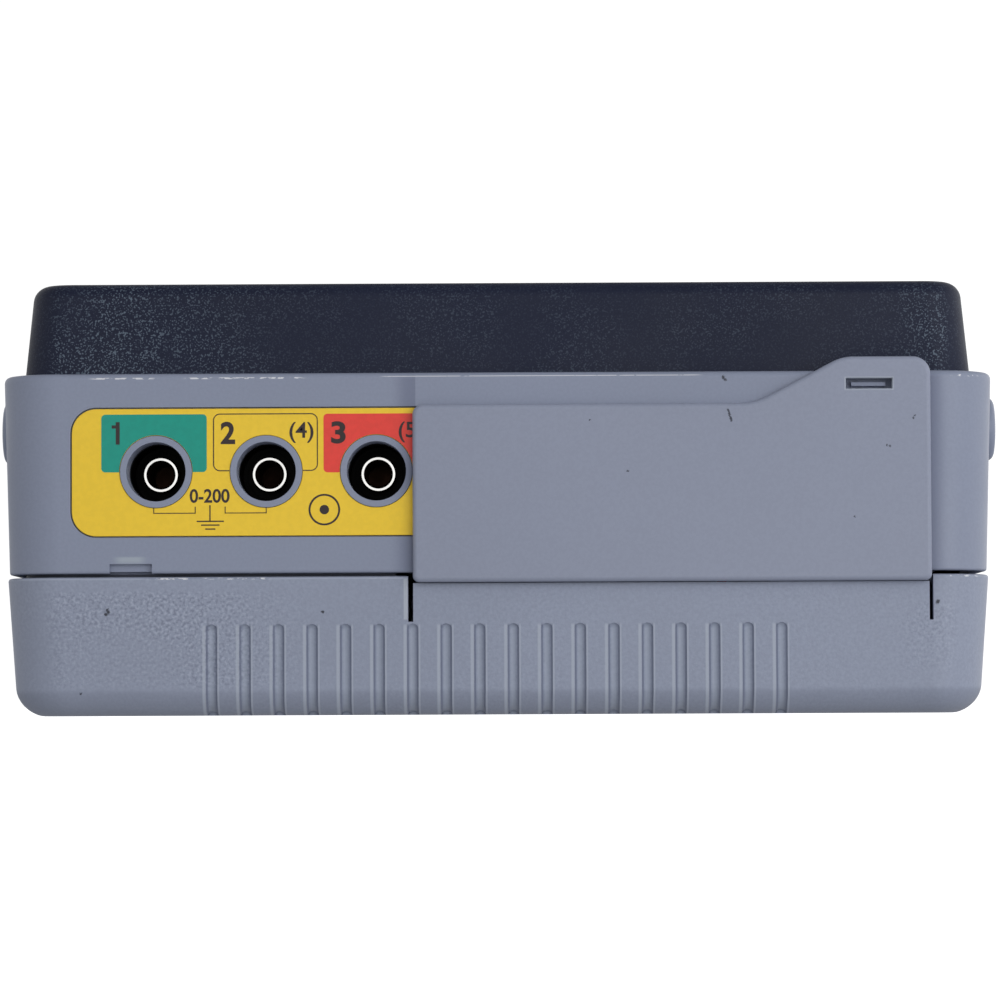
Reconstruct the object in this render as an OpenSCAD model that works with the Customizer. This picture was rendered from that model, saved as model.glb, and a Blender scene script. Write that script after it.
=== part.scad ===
// Ground resistance tester: three stacked mouldings, a deep operating face on top,
// three shrouded measuring terminals in the front wall and a shutter that slides over them.
// The origin is on the table under the middle of the case, Z is up, the terminals face -Y.

/* [Case] */
// Width of the middle case at its ledge
case_w = 158; // [156:1:164]
// Length of the case, front to back
case_l = 105; // [103:1:110]
// Height of the lower case
lower_h = 22; // [21.5:0.5:24]
// Open seam between the lower and the middle case
seam = 0.4; // [0.3:0.1:0.8]
// Height of the ledge that the upper case stands on
ledge_z = 54.2; // [54:0.1:56]
// Height of the rim of the upper case
rim_z = 69; // [68:0.5:71]
// Wall of the three mouldings
wall = 2.5; // [2:0.1:2.8]
// Plan radius of the grey corners
corner_r = 9; // [7:0.5:10]
// Radius of the edge round the bottom
bottom_r = 4.3; // [3.5:0.1:5]
// Chamfer of the two edges at the seam
seam_edge = 0.25; // [0.15:0.05:0.4]
// Radius of the edge round the ledge
ledge_r = 1; // [0.6:0.1:1.6]
// How much narrower the lower case is at its foot, each side
lower_taper = 1.2; // [0.6:0.1:1.6]
// How much narrower the middle case is at its foot, each side
middle_taper = 0.9; // [0.5:0.1:1.2]
// Thickness of the ledge
ledge_t = 3.2; // [2.8:0.1:3.6]

/* [Upper case] */
// Step from the ledge's edge in to the upper case
upper_set = 3.3; // [3.1:0.1:3.6]
// How much narrower the upper case is at its rim, each side
upper_taper = 1.4; // [0.8:0.1:2]
// Radius of the rounded rim
rim_r = 2.4; // [1.6:0.1:2.6]
// Plan radius of the upper case corners
upper_corner_r = 6.4; // [5.5:0.1:8]
// Depth of the operating face below the rim
face_drop = 9; // [8.4:0.1:9.6]
// Thickness of the face panel
panel_t = 2; // [1.6:0.1:2.4]
// Width of the shelf under the face panel
shelf_w = 6; // [5:0.5:7]

/* [Grip grooves] */
// Number of upright grooves in the front of the lower case
groove_n = 18; // [10:1:18]
// Spacing of the grooves
groove_pitch = 5.3; // [4.6:0.1:5.5]
// Radius of the round cutter of a groove
groove_r = 1.4; // [1:0.05:1.6]
// Depth of a groove
groove_depth = 0.64; // [0.4:0.02:0.8]
// Height of the rounded upper end of the grooves
groove_top = 14.5; // [12:0.5:17]

/* [Terminals] */
// Distance between terminals
terminal_pitch = 17.45; // [17:0.05:18]
// Place of the middle terminal
terminal_x = -36.6; // [-38:0.1:-35]
// Height of the terminals
terminal_z = 38.6; // [37.5:0.1:40]
// Outside of a terminal collar
collar_d = 11.4; // [11:0.1:12]
// Bore of a terminal collar
collar_bore = 9.4; // [9:0.1:10]
// Depth of the grey collar behind the front
collar_l = 6.6; // [6:0.1:7.5]
// Bore that takes the standard 4 mm test plug
plug_bore = 4; // [4:0.01:4.05]
// Outside of the contact tube
tube_d = 5.5; // [5.3:0.1:6]
// Distance from the collar's rim back to the tube's tip
tube_set = 10; // [9:0.5:11]
// Depth of the plug bore
tube_bore_l = 14; // [12:0.5:15]
// Length of the label plate
label_w = 62.4; // [60:0.2:64]
// Height of the label plate
label_h = 20.2; // [19:0.2:22]
// Corner radius of the label plate
label_r = 3.9; // [2:0.1:5]
// Depth of the label pocket
label_pocket = 1; // [0.8:0.1:1.2]
// Thickness of the label plate
label_t = 0.8; // [0.5:0.1:0.8]

/* [Terminal shutter] */
// Left edge of the shutter when it is open
shutter_left = -13.4; // [-13.6:0.1:-13]
// Width of the shutter
shutter_w = 81.9; // [80:0.1:82]
// Thickness of the shutter
shutter_t = 1.5; // [1.2:0.1:1.5]
// Height of its long upper edge
shutter_top = 49.3; // [48.5:0.1:50.5]
// Height of the tab over the ledge
tab_rise = 2.7; // [2.5:0.1:3.2]
// Width of the flat top of the tab
tab_w = 14; // [12:0.5:15]
// Slope of the tab's shoulder
tab_slope = 28.8; // [26:0.2:34]
// Travel of the shutter
shutter_travel = 56; // [54:0.5:56]
// Width of the lip that holds its lower edge
lip_w = 24.9; // [20:0.1:24.9]
// Thickness of that lip
lip_t = 1; // [0.8:0.1:1]
// Width of the small window
window_w = 7.3; // [6.5:0.1:8]
// Height of the small window
window_h = 1.6; // [1.4:0.1:2]

/* [Controls] */
// Place of the range knob
knob_x = 38; // [36:0.5:40]
knob_y = -3; // [-5:0.5:0]
// Diameter of the range knob
knob_d = 34; // [30:0.5:36]
// Height of the range knob
knob_h = 8.4; // [7.6:0.1:8.6]
// Width of its grip bar
grip_w = 9; // [8:0.2:11]
// Diameter of the switch shaft
shaft_d = 6; // [5:0.5:6.5]
// Turn of the knob from straight ahead to its off position
knob_rest = 75; // [60:5:90]
// Place of the test button from the left of the middle
button_x = -44; // [-46:0.5:-42]
// Distance of the button and the lamp from the front edge of the face
button_in = 19.2; // [18.2:0.1:20.2]
// Diameter of the test button
button_d = 15; // [14:0.5:16]
// Travel of the test button
button_travel = 2.5; // [2:0.1:2.5]
// Width of the display window
window_lens_w = 80; // [76:1:84]
// Depth of the display window
window_lens_l = 36; // [34:0.5:38]
// Thickness of the display window
window_lens_t = 1.2; // [0.8:0.1:1.3]
// Place of the display window
display_x = -26; // [-27:0.5:-24]
display_y = 20; // [19:0.5:22]
// Place of the lamp
lamp_x = -16; // [-18:0.5:-14]
// Diameter of the lamp
lamp_d = 5; // [4:0.2:5.4]

/* [Strap studs] */
// Diameter of a stud's head
stud_d = 10.8; // [10:0.2:12]
// How far a stud stands off the side
stud_h = 5.4; // [5:0.1:7]
// Diameter of its neck
stud_neck_d = 7; // [6:0.2:8]
// Height of the studs
stud_z = 48; // [46.4:0.1:48.4]

/* [Batteries] */
// Number of AA cells
cell_n = 6; // [6:1:6]
// Diameter of a cell
cell_d = 14.3; // [13.8:0.1:14.4]
// Length of a cell with its nub
cell_l = 50.5; // [49.5:0.1:50.7]
// Room for a spring under load
spring_room = 4.6; // [4.2:0.1:5]
// Thickness of the battery door
door_t = 2; // [1.6:0.1:2.2]
// Thickness of the foam pad on the door
pad_t = 1.2; // [0.8:0.1:1.4]
// Wall of the battery compartment
box_wall = 3.4; // [3.2:0.1:3.6]

/* [Boards and screws] */
// Underside of the main board
main_z = 27; // [26.5:0.1:27.4]
// Thickness of the boards
board_t = 1.6; // [1.2:0.1:1.8]
// Width of the main board
main_w = 120; // [118:0.5:122]
// Length of the main board
main_l = 88; // [86:0.5:90]
// Gap from the face panel down to the control board
control_drop = 8; // [7.7:0.1:8]
// Diameter of the screws' shanks
screw_d = 3; // [2.6:0.1:3]
// Diameter of the screws' heads
head_d = 5.6; // [5:0.1:5.8]
// Diameter of the case pillars
pillar_d = 8.4; // [8.2:0.1:8.8]
// Place of the case pillars
pillar_x = 66; // [65.8:0.1:66.4]
pillar_y = 40; // [39.8:0.1:40.4]

/* [Clearances] */
// Gap between pieces that must not touch
gap = 0.3; // [0.25:0.05:0.35]
// Radial clearance of parts that turn or slide in a bore
running = 0.05; // [0.02:0.01:0.08]
// Small clearance of parts that are fixed together
seat = 0.05; // [0.03:0.01:0.1]

/* [Hidden] */
$fn = 48;
corner_fn = 32;
arc_steps = 6;
cut = 0.1;
skin = 0.01;

// Planes and places that follow from the sizes above
front = -case_l / 2;
back = case_l / 2;
half_w = case_w / 2;
middle_z = lower_h + seam;
face_z = rim_z - face_drop;
panel_z = face_z - panel_t;
control_z = panel_z - control_drop;
control_under = control_z - board_t;
main_top = main_z + board_t;
lower_set = 0.2;
lower_front = front + lower_set;
lower_back = back - lower_set;
foot_half = half_w - middle_taper;
lower_half = foot_half + gap;
upper_half = half_w - upper_set;
upper_front = front + upper_set;

// Opening of the ledge and the skirt of the upper case that stands in it
opening_in = upper_set + 3.7;
skirt_t = 2;
skirt_drop = 3.7;
skirt_half = half_w - opening_in - gap;
skirt_front = front + opening_in + gap;
skirt_r = 5;
face_wall = 4.7;
face_half = upper_half - face_wall;
face_front = upper_front + face_wall;
face_r = 4;
button_y = face_front + gap + button_in;
lamp_y = button_y;
shelf_t = 2;

// Battery compartment
cell_gap = 0.3;
plate_t = 0.4;
nub_d = 5.2;
nub_l = 1.5;
cell_pitch = cell_d + cell_gap;
box_half = cell_n * cell_pitch / 2 + gap;
box_len = (cell_l + spring_room + 2 * plate_t) / 2;
door_z = 0.2;
pad_z = door_z + door_t;
cell_z = pad_z + pad_t + seat + cell_d / 2;
box_top = cell_z + cell_d / 2 + gap;
roof_t = 1.4;
door_margin = 2.4;
door_half = box_half + door_margin;
door_front = -box_len - door_margin;
door_back = box_len + door_margin;
ear_r = 5;
ear_y = door_back + 1.5;
tongue_l = 2.2;
tongue_w = 10;
tongue_x = 30;
tongue_t = 1.1;
tongue_lift = 0.9;
tongue_swing = 1;

// Shutter planes
shutter_back_y = front - gap;
shutter_front_y = shutter_back_y - shutter_t;
shutter_right = shutter_left + shutter_w;
tab_top = ledge_z + tab_rise;
lip_top = middle_z - gap;
lip_z = lip_top - lip_t;
tongue_top = lip_z - gap;
bead_t = 1;
bead_drop = 1.5;
bead_y = lower_front + wall + gap;
lip_right = shutter_right - 0.6;
lip_left = lip_right - lip_w;
slit_w = 0.8;
slit_left = shutter_left - slit_w;
slit_right = lip_right + gap;
slit_right_w = 0.6;
slit_foot = groove_top + 0.2;
hook_left = shutter_right - tab_w + 0.6;
hook_w = 7.4;
hook_t = 0.7;
hook_drop = 1.4;
track_wall = 1.3;
track_w = hook_t + 2 * gap;
track_depth = hook_drop + gap;
window_x = hook_left;
window_mid_z = ledge_z - 1.6;
detent_h = 0.2;
detent_w = 1.1;
detent_in = 0.9;

// Terminal depths
label_margin = 7.65;
label_x = terminal_x - terminal_pitch - collar_d / 2 - label_margin;
label_z = terminal_z - label_h / 2 - 0.1;
tube_tip = front + tube_set;
block_front = front + collar_l + cut;
well_d = collar_bore - 0.2;
well_floor = tube_tip + 6.5;
block_back = well_floor + 6;
block_h = 14;
block_side = well_d / 2 + 2.6;
tube_back = tube_tip + tube_bore_l + 2;
nut_d = 8;
nut_t = 1.2;
lead_d = 1.6;
lead_bend = 4;

// A closed outline with its corners rounded; each corner is [x, y, radius]
function unit(v) = v / norm(v);
function turned(a, b) = a > b + 180 ? a - 360 : (a < b - 180 ? a + 360 : a);
function corner_points(a, p, b, r) =
    let (
        u = unit([a.x - p.x, a.y - p.y]),
        v = unit([b.x - p.x, b.y - p.y]),
        half = acos(u * v) / 2,
        from = [p.x, p.y] + u * r / tan(half),
        to = [p.x, p.y] + v * r / tan(half),
        mid = [p.x, p.y] + unit(u + v) * r / sin(half),
        a0 = atan2(from.y - mid.y, from.x - mid.x),
        a1 = turned(atan2(to.y - mid.y, to.x - mid.x), a0)
    )
    [for (k = [0 : arc_steps])
        let (a = a0 + (a1 - a0) * k / arc_steps)
        mid + r * [cos(a), sin(a)]];
function rounded(c) =
    let (n = len(c))
    [for (i = [0 : n - 1]) each corner_points(c[(i + n - 1) % n], c[i], c[(i + 1) % n], c[i][2])];
function round_rect(x0, x1, y0, y1, r) =
    rounded([[x0, y0, r], [x1, y0, r], [x1, y1, r], [x0, y1, r]]);

// Upright prism with rounded corners
module prism(x0, x1, y0, y1, z0, z1, r) {
    translate([0, 0, z0])
        linear_extrude(z1 - z0)
            polygon(round_rect(x0, x1, y0, y1, r));
}

// Box from corner to corner
module block(x0, x1, y0, y1, z0, z1) {
    translate([x0, y0, z0]) cube([x1 - x0, y1 - y0, z1 - z0]);
}

// Thin rounded slice of a case, to be hulled with others
module slice(half, y0, y1, r, z) {
    for (sx = [-1, 1]) {
        translate([sx * (half - r), y0 + r, z]) cylinder(r = r, h = skin, $fn = corner_fn);
        translate([sx * (half - r), y1 - r, z]) cylinder(r = r, h = skin, $fn = corner_fn);
    }
}

// Solid whose foot is rounded by radius r
module round_foot(half, y0, y1, plan_r, r) {
    steps = 4;
    for (k = [0 : steps]) {
        in = r * (1 - sin(90 * k / steps));
        slice(half - in, y0 + in, y1 - in, plan_r - in, r * (1 - cos(90 * k / steps)));
    }
}

// Rounded rim at height z
module round_rim(half, y0, y1, plan_r, r, z) {
    steps = 3;
    for (k = [0 : steps]) {
        in = r * (1 - cos(90 * k / steps));
        slice(half - in, y0 + in, y1 - in, plan_r - in, z - r * (1 - sin(90 * k / steps)) - skin);
    }
}

// Screw that points up from its head's seat at z = 0
function screw_head_h() = head_d * 0.4;
module screw(length) {
    head_h = screw_head_h();
    slot_w = 0.8;
    slot_depth = 0.9;
    cylinder(d = screw_d, h = length);
    difference() {
        translate([0, 0, -head_h]) cylinder(d = head_d, h = head_h);
        block(-head_d, head_d, -slot_w / 2, slot_w / 2, -head_h - cut, slot_depth - head_h);
    }
}

module at_pillars() {
    for (sx = [-1, 1], sy = [-1, 1])
        translate([sx * pillar_x, sy * pillar_y, 0]) children();
}

board_post_x = main_w / 2 - 6;
board_post_d = 7;
post_side = 1.5;
board_post_y = pillar_y - (pillar_d + board_post_d) / 2 - post_side;
module at_board_posts() {
    for (sx = [-1, 1], sy = [-1, 1])
        translate([sx * board_post_x, sy * board_post_y, 0]) children();
}

control_half = skirt_half - skirt_t - 0.7;
control_front = pillar_d / 2 - pillar_y + 0.8;
control_post_x = control_half - 2.2;
control_post_y = 20;
control_post_d = 5;
module at_control_posts() {
    for (sx = [-1, 1], sy = [-1, 1])
        translate([sx * control_post_x, sy * control_post_y, 0]) children();
}

// Lower case: a tray with grip grooves, a battery compartment open to below and posts
counterbore_z = 9;
shoulder_d = head_d + 2 * gap;
door_post_d = 9;
module groove_cutter() {
    out = groove_r - groove_depth;
    translate([0, lower_front - out, bottom_r]) cylinder(r = groove_r, h = groove_top - bottom_r - groove_r);
    translate([0, lower_front - out, groove_top - groove_r]) sphere(r = groove_r);
    translate([0, lower_front + bottom_r, bottom_r])
        rotate([0, 90, 0])
            rotate([0, 0, -90])
                rotate_extrude(angle = 90)
                    translate([bottom_r + out, 0]) circle(r = groove_r);
}

module lower_outside() {
    hull() {
        round_foot(lower_half - lower_taper, lower_front, lower_back - lower_taper / 2, corner_r, bottom_r);
        slice(lower_half, lower_front, lower_back, corner_r, lower_h - seam_edge);
        slice(lower_half - seam_edge, lower_front + seam_edge, lower_back - seam_edge,
            corner_r - seam_edge, lower_h - skin);
    }
}

module lower_inside() {
    hull() {
        slice(lower_half - lower_taper - wall, lower_front + wall, lower_back - lower_taper / 2 - wall,
            corner_r - wall, wall);
        slice(lower_half - wall, lower_front + wall, lower_back - wall, corner_r - wall, lower_h + cut);
    }
}

module lower_features() {
    prism(-box_half - box_wall, box_half + box_wall, -box_len - box_wall, box_len + box_wall,
        0, box_top + roof_t, 2);
    at_pillars() cylinder(d = pillar_d, h = lower_h);
    at_board_posts() cylinder(d = board_post_d, h = main_z);
    translate([0, ear_y, 0]) cylinder(d = door_post_d + 2 * gap, h = 10);
}

module lower_case() {
    color("#7a8094") {
        difference() {
            lower_outside();
            difference() {
                lower_inside();
                lower_features();
            }
            for (i = [0 : groove_n - 1])
                translate([(i - (groove_n - 1) / 2) * groove_pitch, 0, 0]) groove_cutter();
            // Room for cells, door and its ear
            prism(-box_half, box_half, -box_len, box_len, -cut, box_top, 1);
            prism(-door_half - gap, door_half + gap, door_front - gap, door_back + gap, -cut, pad_z, 2);
            translate([0, ear_y, -cut]) cylinder(r = ear_r + gap, h = pad_z + cut);
            translate([0, ear_y, 0]) cylinder(d = screw_d + 1.4, h = 8.6);
            for (sx = [-1, 1])
                block(sx * tongue_x - tongue_w / 2 - gap, sx * tongue_x + tongue_w / 2 + gap,
                    door_front - tongue_l - 2 * gap, door_front + tongue_swing, tongue_lift, pad_z + 1.4);
            // Screw holes of the pillars and of the board posts
            at_pillars() translate([0, 0, -cut]) cylinder(d = shoulder_d, h = counterbore_z + cut);
            at_pillars() cylinder(d = screw_d + 2 * seat, h = lower_h + cut);
            at_contact_tails() block(-2, 2, -0.5, 0.7, box_top - cut, box_top + roof_t + cut);
            // Slits and lowered top of the springy tongue that guides the shutter
            block(slit_left, slit_left + slit_w, lower_front - cut, lower_front + wall + cut,
                slit_foot, lower_h + cut);
            block(slit_right, slit_right + slit_right_w, lower_front - cut, lower_front + wall + cut,
                slit_foot, lower_h + cut);
            block(slit_left, slit_right + slit_right_w, lower_front - cut, lower_front + wall + cut,
                tongue_top, lower_h + cut);
        }
        difference() {
            at_board_posts() translate([0, 0, lower_h - cut])
                cylinder(d = board_post_d, h = main_z - lower_h + cut);
            at_board_posts() translate([0, 0, lower_h - 1]) cylinder(d = screw_d + 2 * seat, h = main_z);
        }
    }
}

// Middle case: the band with the terminals, its ledge and the tunnel of each collar
module middle_outside() {
    hull() {
        slice(foot_half - seam_edge, front + seam_edge, back - middle_taper / 2 - seam_edge,
            corner_r - seam_edge, middle_z);
        slice(foot_half, front, back - middle_taper / 2, corner_r, middle_z + seam_edge);
        round_rim(half_w, front, back, corner_r, ledge_r, ledge_z);
    }
}

module middle_inside() {
    hull() {
        slice(foot_half - wall, front + wall, back - middle_taper / 2 - wall,
            corner_r - wall, middle_z - cut);
        slice(half_w - wall, front + wall, back - wall, corner_r - wall, ledge_z - ledge_t - skin);
    }
}

skirt_wall = 1.6;
skirt_low = 2.4;
skirt_fix = 2;
module middle_features() {
    tunnel_wall = 1.4;
    rib_t = 1.6;
    rib_l = 14;
    pillar_top = ledge_z - skirt_drop - gap;
    for (i = [-1 : 1])
        translate([terminal_x + i * terminal_pitch, front, terminal_z])
            rotate([-90, 0, 0]) cylinder(d = collar_bore + 2 * tunnel_wall, h = collar_l);
    at_pillars() translate([0, 0, middle_z]) cylinder(d = pillar_d, h = pillar_top - middle_z);
    for (sx = [-1, 1], sy = [-1, 1])
        translate([sx * pillar_x, sy * pillar_y, middle_z])
            rotate([0, 0, sx * sy > 0 ? (sx > 0 ? 45 : -135) : (sx > 0 ? -45 : 135)])
                block(pillar_d / 2 - 1, rib_l, -rib_t / 2, rib_t / 2,
                    skirt_fix + 1, pillar_top - middle_z - 1);
    difference() {
        prism(-half_w, half_w, front, back, middle_z, middle_z + skirt_fix, corner_r - wall);
        prism(-foot_half + wall + skirt_wall + gap, foot_half - wall - skirt_wall - gap,
            front + wall + skirt_wall + gap, back - wall - skirt_wall - 2 * gap,
            middle_z - cut, middle_z + skirt_fix + cut, corner_r - wall - skirt_wall);
    }
    for (sx = [-1, 1])
        translate([sx * half_w, 0, stud_z])
            rotate([0, -sx * 90, 0]) cylinder(d = stud_neck_d + 2, h = wall + 2.4);
}

// Skirt that reaches down inside the lower case and lines the two up
module alignment_skirt() {
    out = foot_half - wall - gap / 3;
    difference() {
        prism(-out, out, front + wall + gap, back - wall - 2 * gap,
            middle_z - skirt_low, middle_z + cut, corner_r - wall);
        prism(-out + skirt_wall, out - skirt_wall,
            front + wall + gap + skirt_wall, back - wall - 2 * gap - skirt_wall,
            middle_z - skirt_low - cut, middle_z + 2 * cut, corner_r - wall - skirt_wall);
        block(slit_left - 2, slit_right + 3, front, front + 10, middle_z - skirt_low - cut, middle_z);
    }
}

// Notch for a lever at the seam, and the ramp above it that shows the place to the thumb
module notch_cutter() {
    notch_x = terminal_x - 24.8;
    notch_w = 6.7;
    notch_h = 1.5;
    ramp_in = 0.5;
    ramp_depth = 0.5;
    ramp_h = 1.8;
    ramp_top = middle_z + notch_h + ramp_h;
    block(notch_x, notch_x + notch_w, front - cut, front + wall + cut, middle_z - cut, middle_z + notch_h);
    intersection() {
        translate([0, front + 1, 0])
            rotate([90, 0, 0]) linear_extrude(2)
                polygon(rounded([
                    [notch_x + ramp_in, middle_z, 0.2], [notch_x + notch_w - ramp_in, middle_z, 0.2],
                    [notch_x + notch_w - ramp_in, ramp_top, 1.4], [notch_x + ramp_in, ramp_top, 1.4]
                ]));
        translate([notch_x, 0, 0])
            rotate([90, 0, 90]) linear_extrude(notch_w)
                polygon([[front - 1, middle_z + notch_h], [front, middle_z + notch_h],
                    [front + ramp_depth, ramp_top + cut], [front - 1, ramp_top + cut]]);
    }
}

module middle_case() {
    color("#7f8599") {
        difference() {
            middle_outside();
            difference() {
                middle_inside();
                middle_features();
            }
            prism(-half_w + opening_in, half_w - opening_in, front + opening_in, back - opening_in,
                ledge_z - ledge_t - cut, ledge_z + cut, skirt_r + gap);
            label_recess();
            for (i = [-1 : 1])
                translate([terminal_x + i * terminal_pitch, front - cut, terminal_z])
                    rotate([-90, 0, 0]) cylinder(d = collar_bore, h = collar_l + 2 * cut);
            at_pillars() translate([0, 0, middle_z - cut]) cylinder(d = screw_d + 2 * seat, h = ledge_z);
            for (sx = [-1, 1])
                translate([sx * (half_w + cut), 0, stud_z])
                    rotate([0, -sx * 90, 0]) cylinder(d = screw_d + 2 * seat, h = 2 * wall + 4);
            // Track for the shutter's hook
            block(hook_left - shutter_travel - 2 * gap, hook_left + hook_w + 2 * gap,
                front + track_wall, front + track_wall + track_w, ledge_z - track_depth, ledge_z + cut);
            notch_cutter();
        }
        alignment_skirt();
        // Ridge that clicks into the shutter's window
        block(window_x + detent_in, window_x + window_w - detent_in, front - detent_h, front + cut,
            window_mid_z - detent_w / 2, window_mid_z + detent_w / 2);
    }
}

module label_recess() {
    difference() {
        translate([0, front + label_pocket, 0])
            rotate([90, 0, 0])
                linear_extrude(label_pocket + cut)
                    polygon(round_rect(label_x - gap, label_x + label_w + gap,
                        label_z - gap, label_z + label_h + gap, label_r + gap));
        for (i = [-1 : 1])
            translate([terminal_x + i * terminal_pitch, front - 2 * cut, terminal_z])
                rotate([-90, 0, 0]) cylinder(d = collar_d, h = label_pocket + 3 * cut);
    }
}

module terminal_label() {
    color("#e2c03a")
        difference() {
            translate([0, front + label_pocket, 0])
                rotate([90, 0, 0])
                    linear_extrude(label_t)
                        polygon(round_rect(label_x, label_x + label_w, label_z, label_z + label_h, label_r));
            for (i = [-1 : 1])
                translate([terminal_x + i * terminal_pitch, front - cut, terminal_z])
                    rotate([-90, 0, 0]) cylinder(d = collar_d + 2 * seat, h = label_pocket + 2 * cut);
        }
}

// Upper case: the dark frame round the operating face
module upper_case() {
    color("#2b2e40")
        difference() {
            union() {
                hull() {
                    slice(upper_half, upper_front, -upper_front, upper_corner_r, ledge_z);
                    round_rim(upper_half - upper_taper, upper_front + upper_taper, -upper_front - upper_taper,
                        upper_corner_r, rim_r, rim_z);
                }
                prism(-skirt_half, skirt_half, skirt_front, -skirt_front,
                    ledge_z - skirt_drop, ledge_z + cut, skirt_r);
                at_control_posts() translate([0, 0, control_z])
                    cylinder(d = control_post_d, h = ledge_z - control_z);
            }
            prism(-face_half, face_half, face_front, -face_front, panel_z, rim_z + cut, face_r);
            prism(-face_half + shelf_w, face_half - shelf_w, face_front + shelf_w, -face_front - shelf_w,
                panel_z - shelf_t - cut, panel_z + cut, face_r / 2);
            difference() {
                prism(-skirt_half + skirt_t, skirt_half - skirt_t,
                    skirt_front + skirt_t, -skirt_front - skirt_t,
                    ledge_z - skirt_drop - cut, panel_z - shelf_t, skirt_r - skirt_t);
                at_pillars() translate([0, 0, ledge_z - skirt_drop])
                    cylinder(d = pillar_d, h = skirt_drop + panel_z - ledge_z);
                at_control_posts() translate([0, 0, control_z])
                    cylinder(d = control_post_d, h = control_drop);
            }
            at_pillars() translate([0, 0, ledge_z - skirt_drop - cut])
                cylinder(d = screw_d + 2 * seat, h = 5.5);
            at_control_posts() translate([0, 0, control_z - cut]) cylinder(d = screw_d + 2 * seat, h = 6);
        }
}

// Operating face
module face_panel() {
    color("#c9cbd0")
        difference() {
            prism(-face_half + gap, face_half - gap, face_front + gap, -face_front - gap,
                panel_z, face_z, face_r - gap);
            prism(display_x - window_lens_w / 2 - seat, display_x + window_lens_w / 2 + seat,
                display_y - window_lens_l / 2 - seat, display_y + window_lens_l / 2 + seat,
                face_z - window_lens_t, face_z + cut, 2 + seat);
            prism(display_x - window_lens_w / 2 + 2, display_x + window_lens_w / 2 - 2,
                display_y - window_lens_l / 2 + 2, display_y + window_lens_l / 2 - 2,
                panel_z - cut, face_z, 1);
            translate([button_x, button_y, panel_z]) bezel_cone(panel_t, seat, cut);
            translate([lamp_x, lamp_y, panel_z - cut]) cylinder(d = lamp_d + 2 * seat, h = panel_t + 2 * cut);
            translate([knob_x, knob_y, panel_z - cut]) cylinder(d = shaft_d + 1, h = panel_t + 2 * cut);
        }
}

module display_window() {
    color("#9fb0b4")
        prism(display_x - window_lens_w / 2, display_x + window_lens_w / 2,
            display_y - window_lens_l / 2, display_y + window_lens_l / 2,
            face_z - window_lens_t, face_z, 2);
}

// Display module: glass in a frame on the control board
module display_module() {
    frame_h = control_drop - gap;
    glass_t = 1.1;
    back_room = 2;
    w = window_lens_w - 6;
    l = min(window_lens_l - 4, 2 * (-control_front - display_y) - 1);
    color("#3c4248") {
        difference() {
            prism(display_x - w / 2, display_x + w / 2, display_y - l / 2, display_y + l / 2,
                control_z, control_z + frame_h, 1);
            prism(display_x - w / 2 + 1.5, display_x + w / 2 - 1.5,
                display_y - l / 2 + 1.5, display_y + l / 2 - 1.5,
                control_z + back_room, control_z + frame_h + cut, 0.5);
        }
        prism(display_x - w / 2 + 1, display_x + w / 2 - 1, display_y - l / 2 + 1, display_y + l / 2 - 1,
            control_z + frame_h - 2 * glass_t, control_z + frame_h - glass_t, 0.5);
    }
}

// Indicator lamp that stands on the control board
module ok_lamp() {
    flange_h = 1;
    dome_z = face_z + 0.6 - lamp_d / 2;
    color("#4fae5a")
        translate([lamp_x, lamp_y, 0]) {
            translate([0, 0, control_z]) cylinder(d = lamp_d - 1, h = panel_z - control_z);
            translate([0, 0, panel_z - seat - flange_h]) cylinder(d = lamp_d + 1, h = flange_h);
            translate([0, 0, panel_z - flange_h]) cylinder(d = lamp_d, h = dome_z - panel_z + flange_h);
            translate([0, 0, dome_z]) sphere(d = lamp_d);
        }
}

// Range knob: a skirted disc with a grip bar across it
knob_lift = 0.3;
disc_h = 2;
module at_knob() {
    translate([knob_x, knob_y, 0]) rotate([0, 0, knob_rest]) children();
}

module range_knob() {
    top = face_z + knob_h;
    bar_half = knob_d / 2 - 1;
    color("#23252c")
        difference() {
            at_knob() union() {
                translate([0, 0, face_z + knob_lift]) cylinder(d1 = knob_d, d2 = knob_d - 1.4, h = disc_h);
                translate([0, 0, face_z + knob_lift + disc_h - cut])
                    linear_extrude(top - face_z - knob_lift - disc_h + cut)
                        polygon(rounded([
                            [-grip_w / 2, -bar_half, 2], [grip_w / 2, -bar_half, 2],
                            [grip_w / 2, bar_half - grip_w / 2, 1.6], [0.6, bar_half, 0.5],
                            [-0.6, bar_half, 0.5], [-grip_w / 2, bar_half - grip_w / 2, 1.6]
                        ]));
            }
            at_knob() translate([0, 0, face_z]) cylinder(d = shaft_d + 2 * seat, h = knob_h - 1.6);
            // Flutes along the bar for the fingers
            at_knob() for (sx = [-1, 1])
                translate([sx * (grip_w / 2 + 12 - 1), -2, face_z + knob_lift + disc_h])
                    cylinder(r = 12, h = knob_h);
            at_knob() pointer_shape(0.6 + cut, seat);
        }
}

module pointer_shape(depth, grow) {
    w = 1.6 + 2 * grow;
    translate([-w / 2, 4 - grow, face_z + knob_h - depth + cut]) cube([w, knob_d / 2 - 8 + 2 * grow, depth]);
}

module knob_pointer() {
    color("#f2f2f0") at_knob() translate([0, 0, -cut]) pointer_shape(0.6, 0);
}

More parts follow.
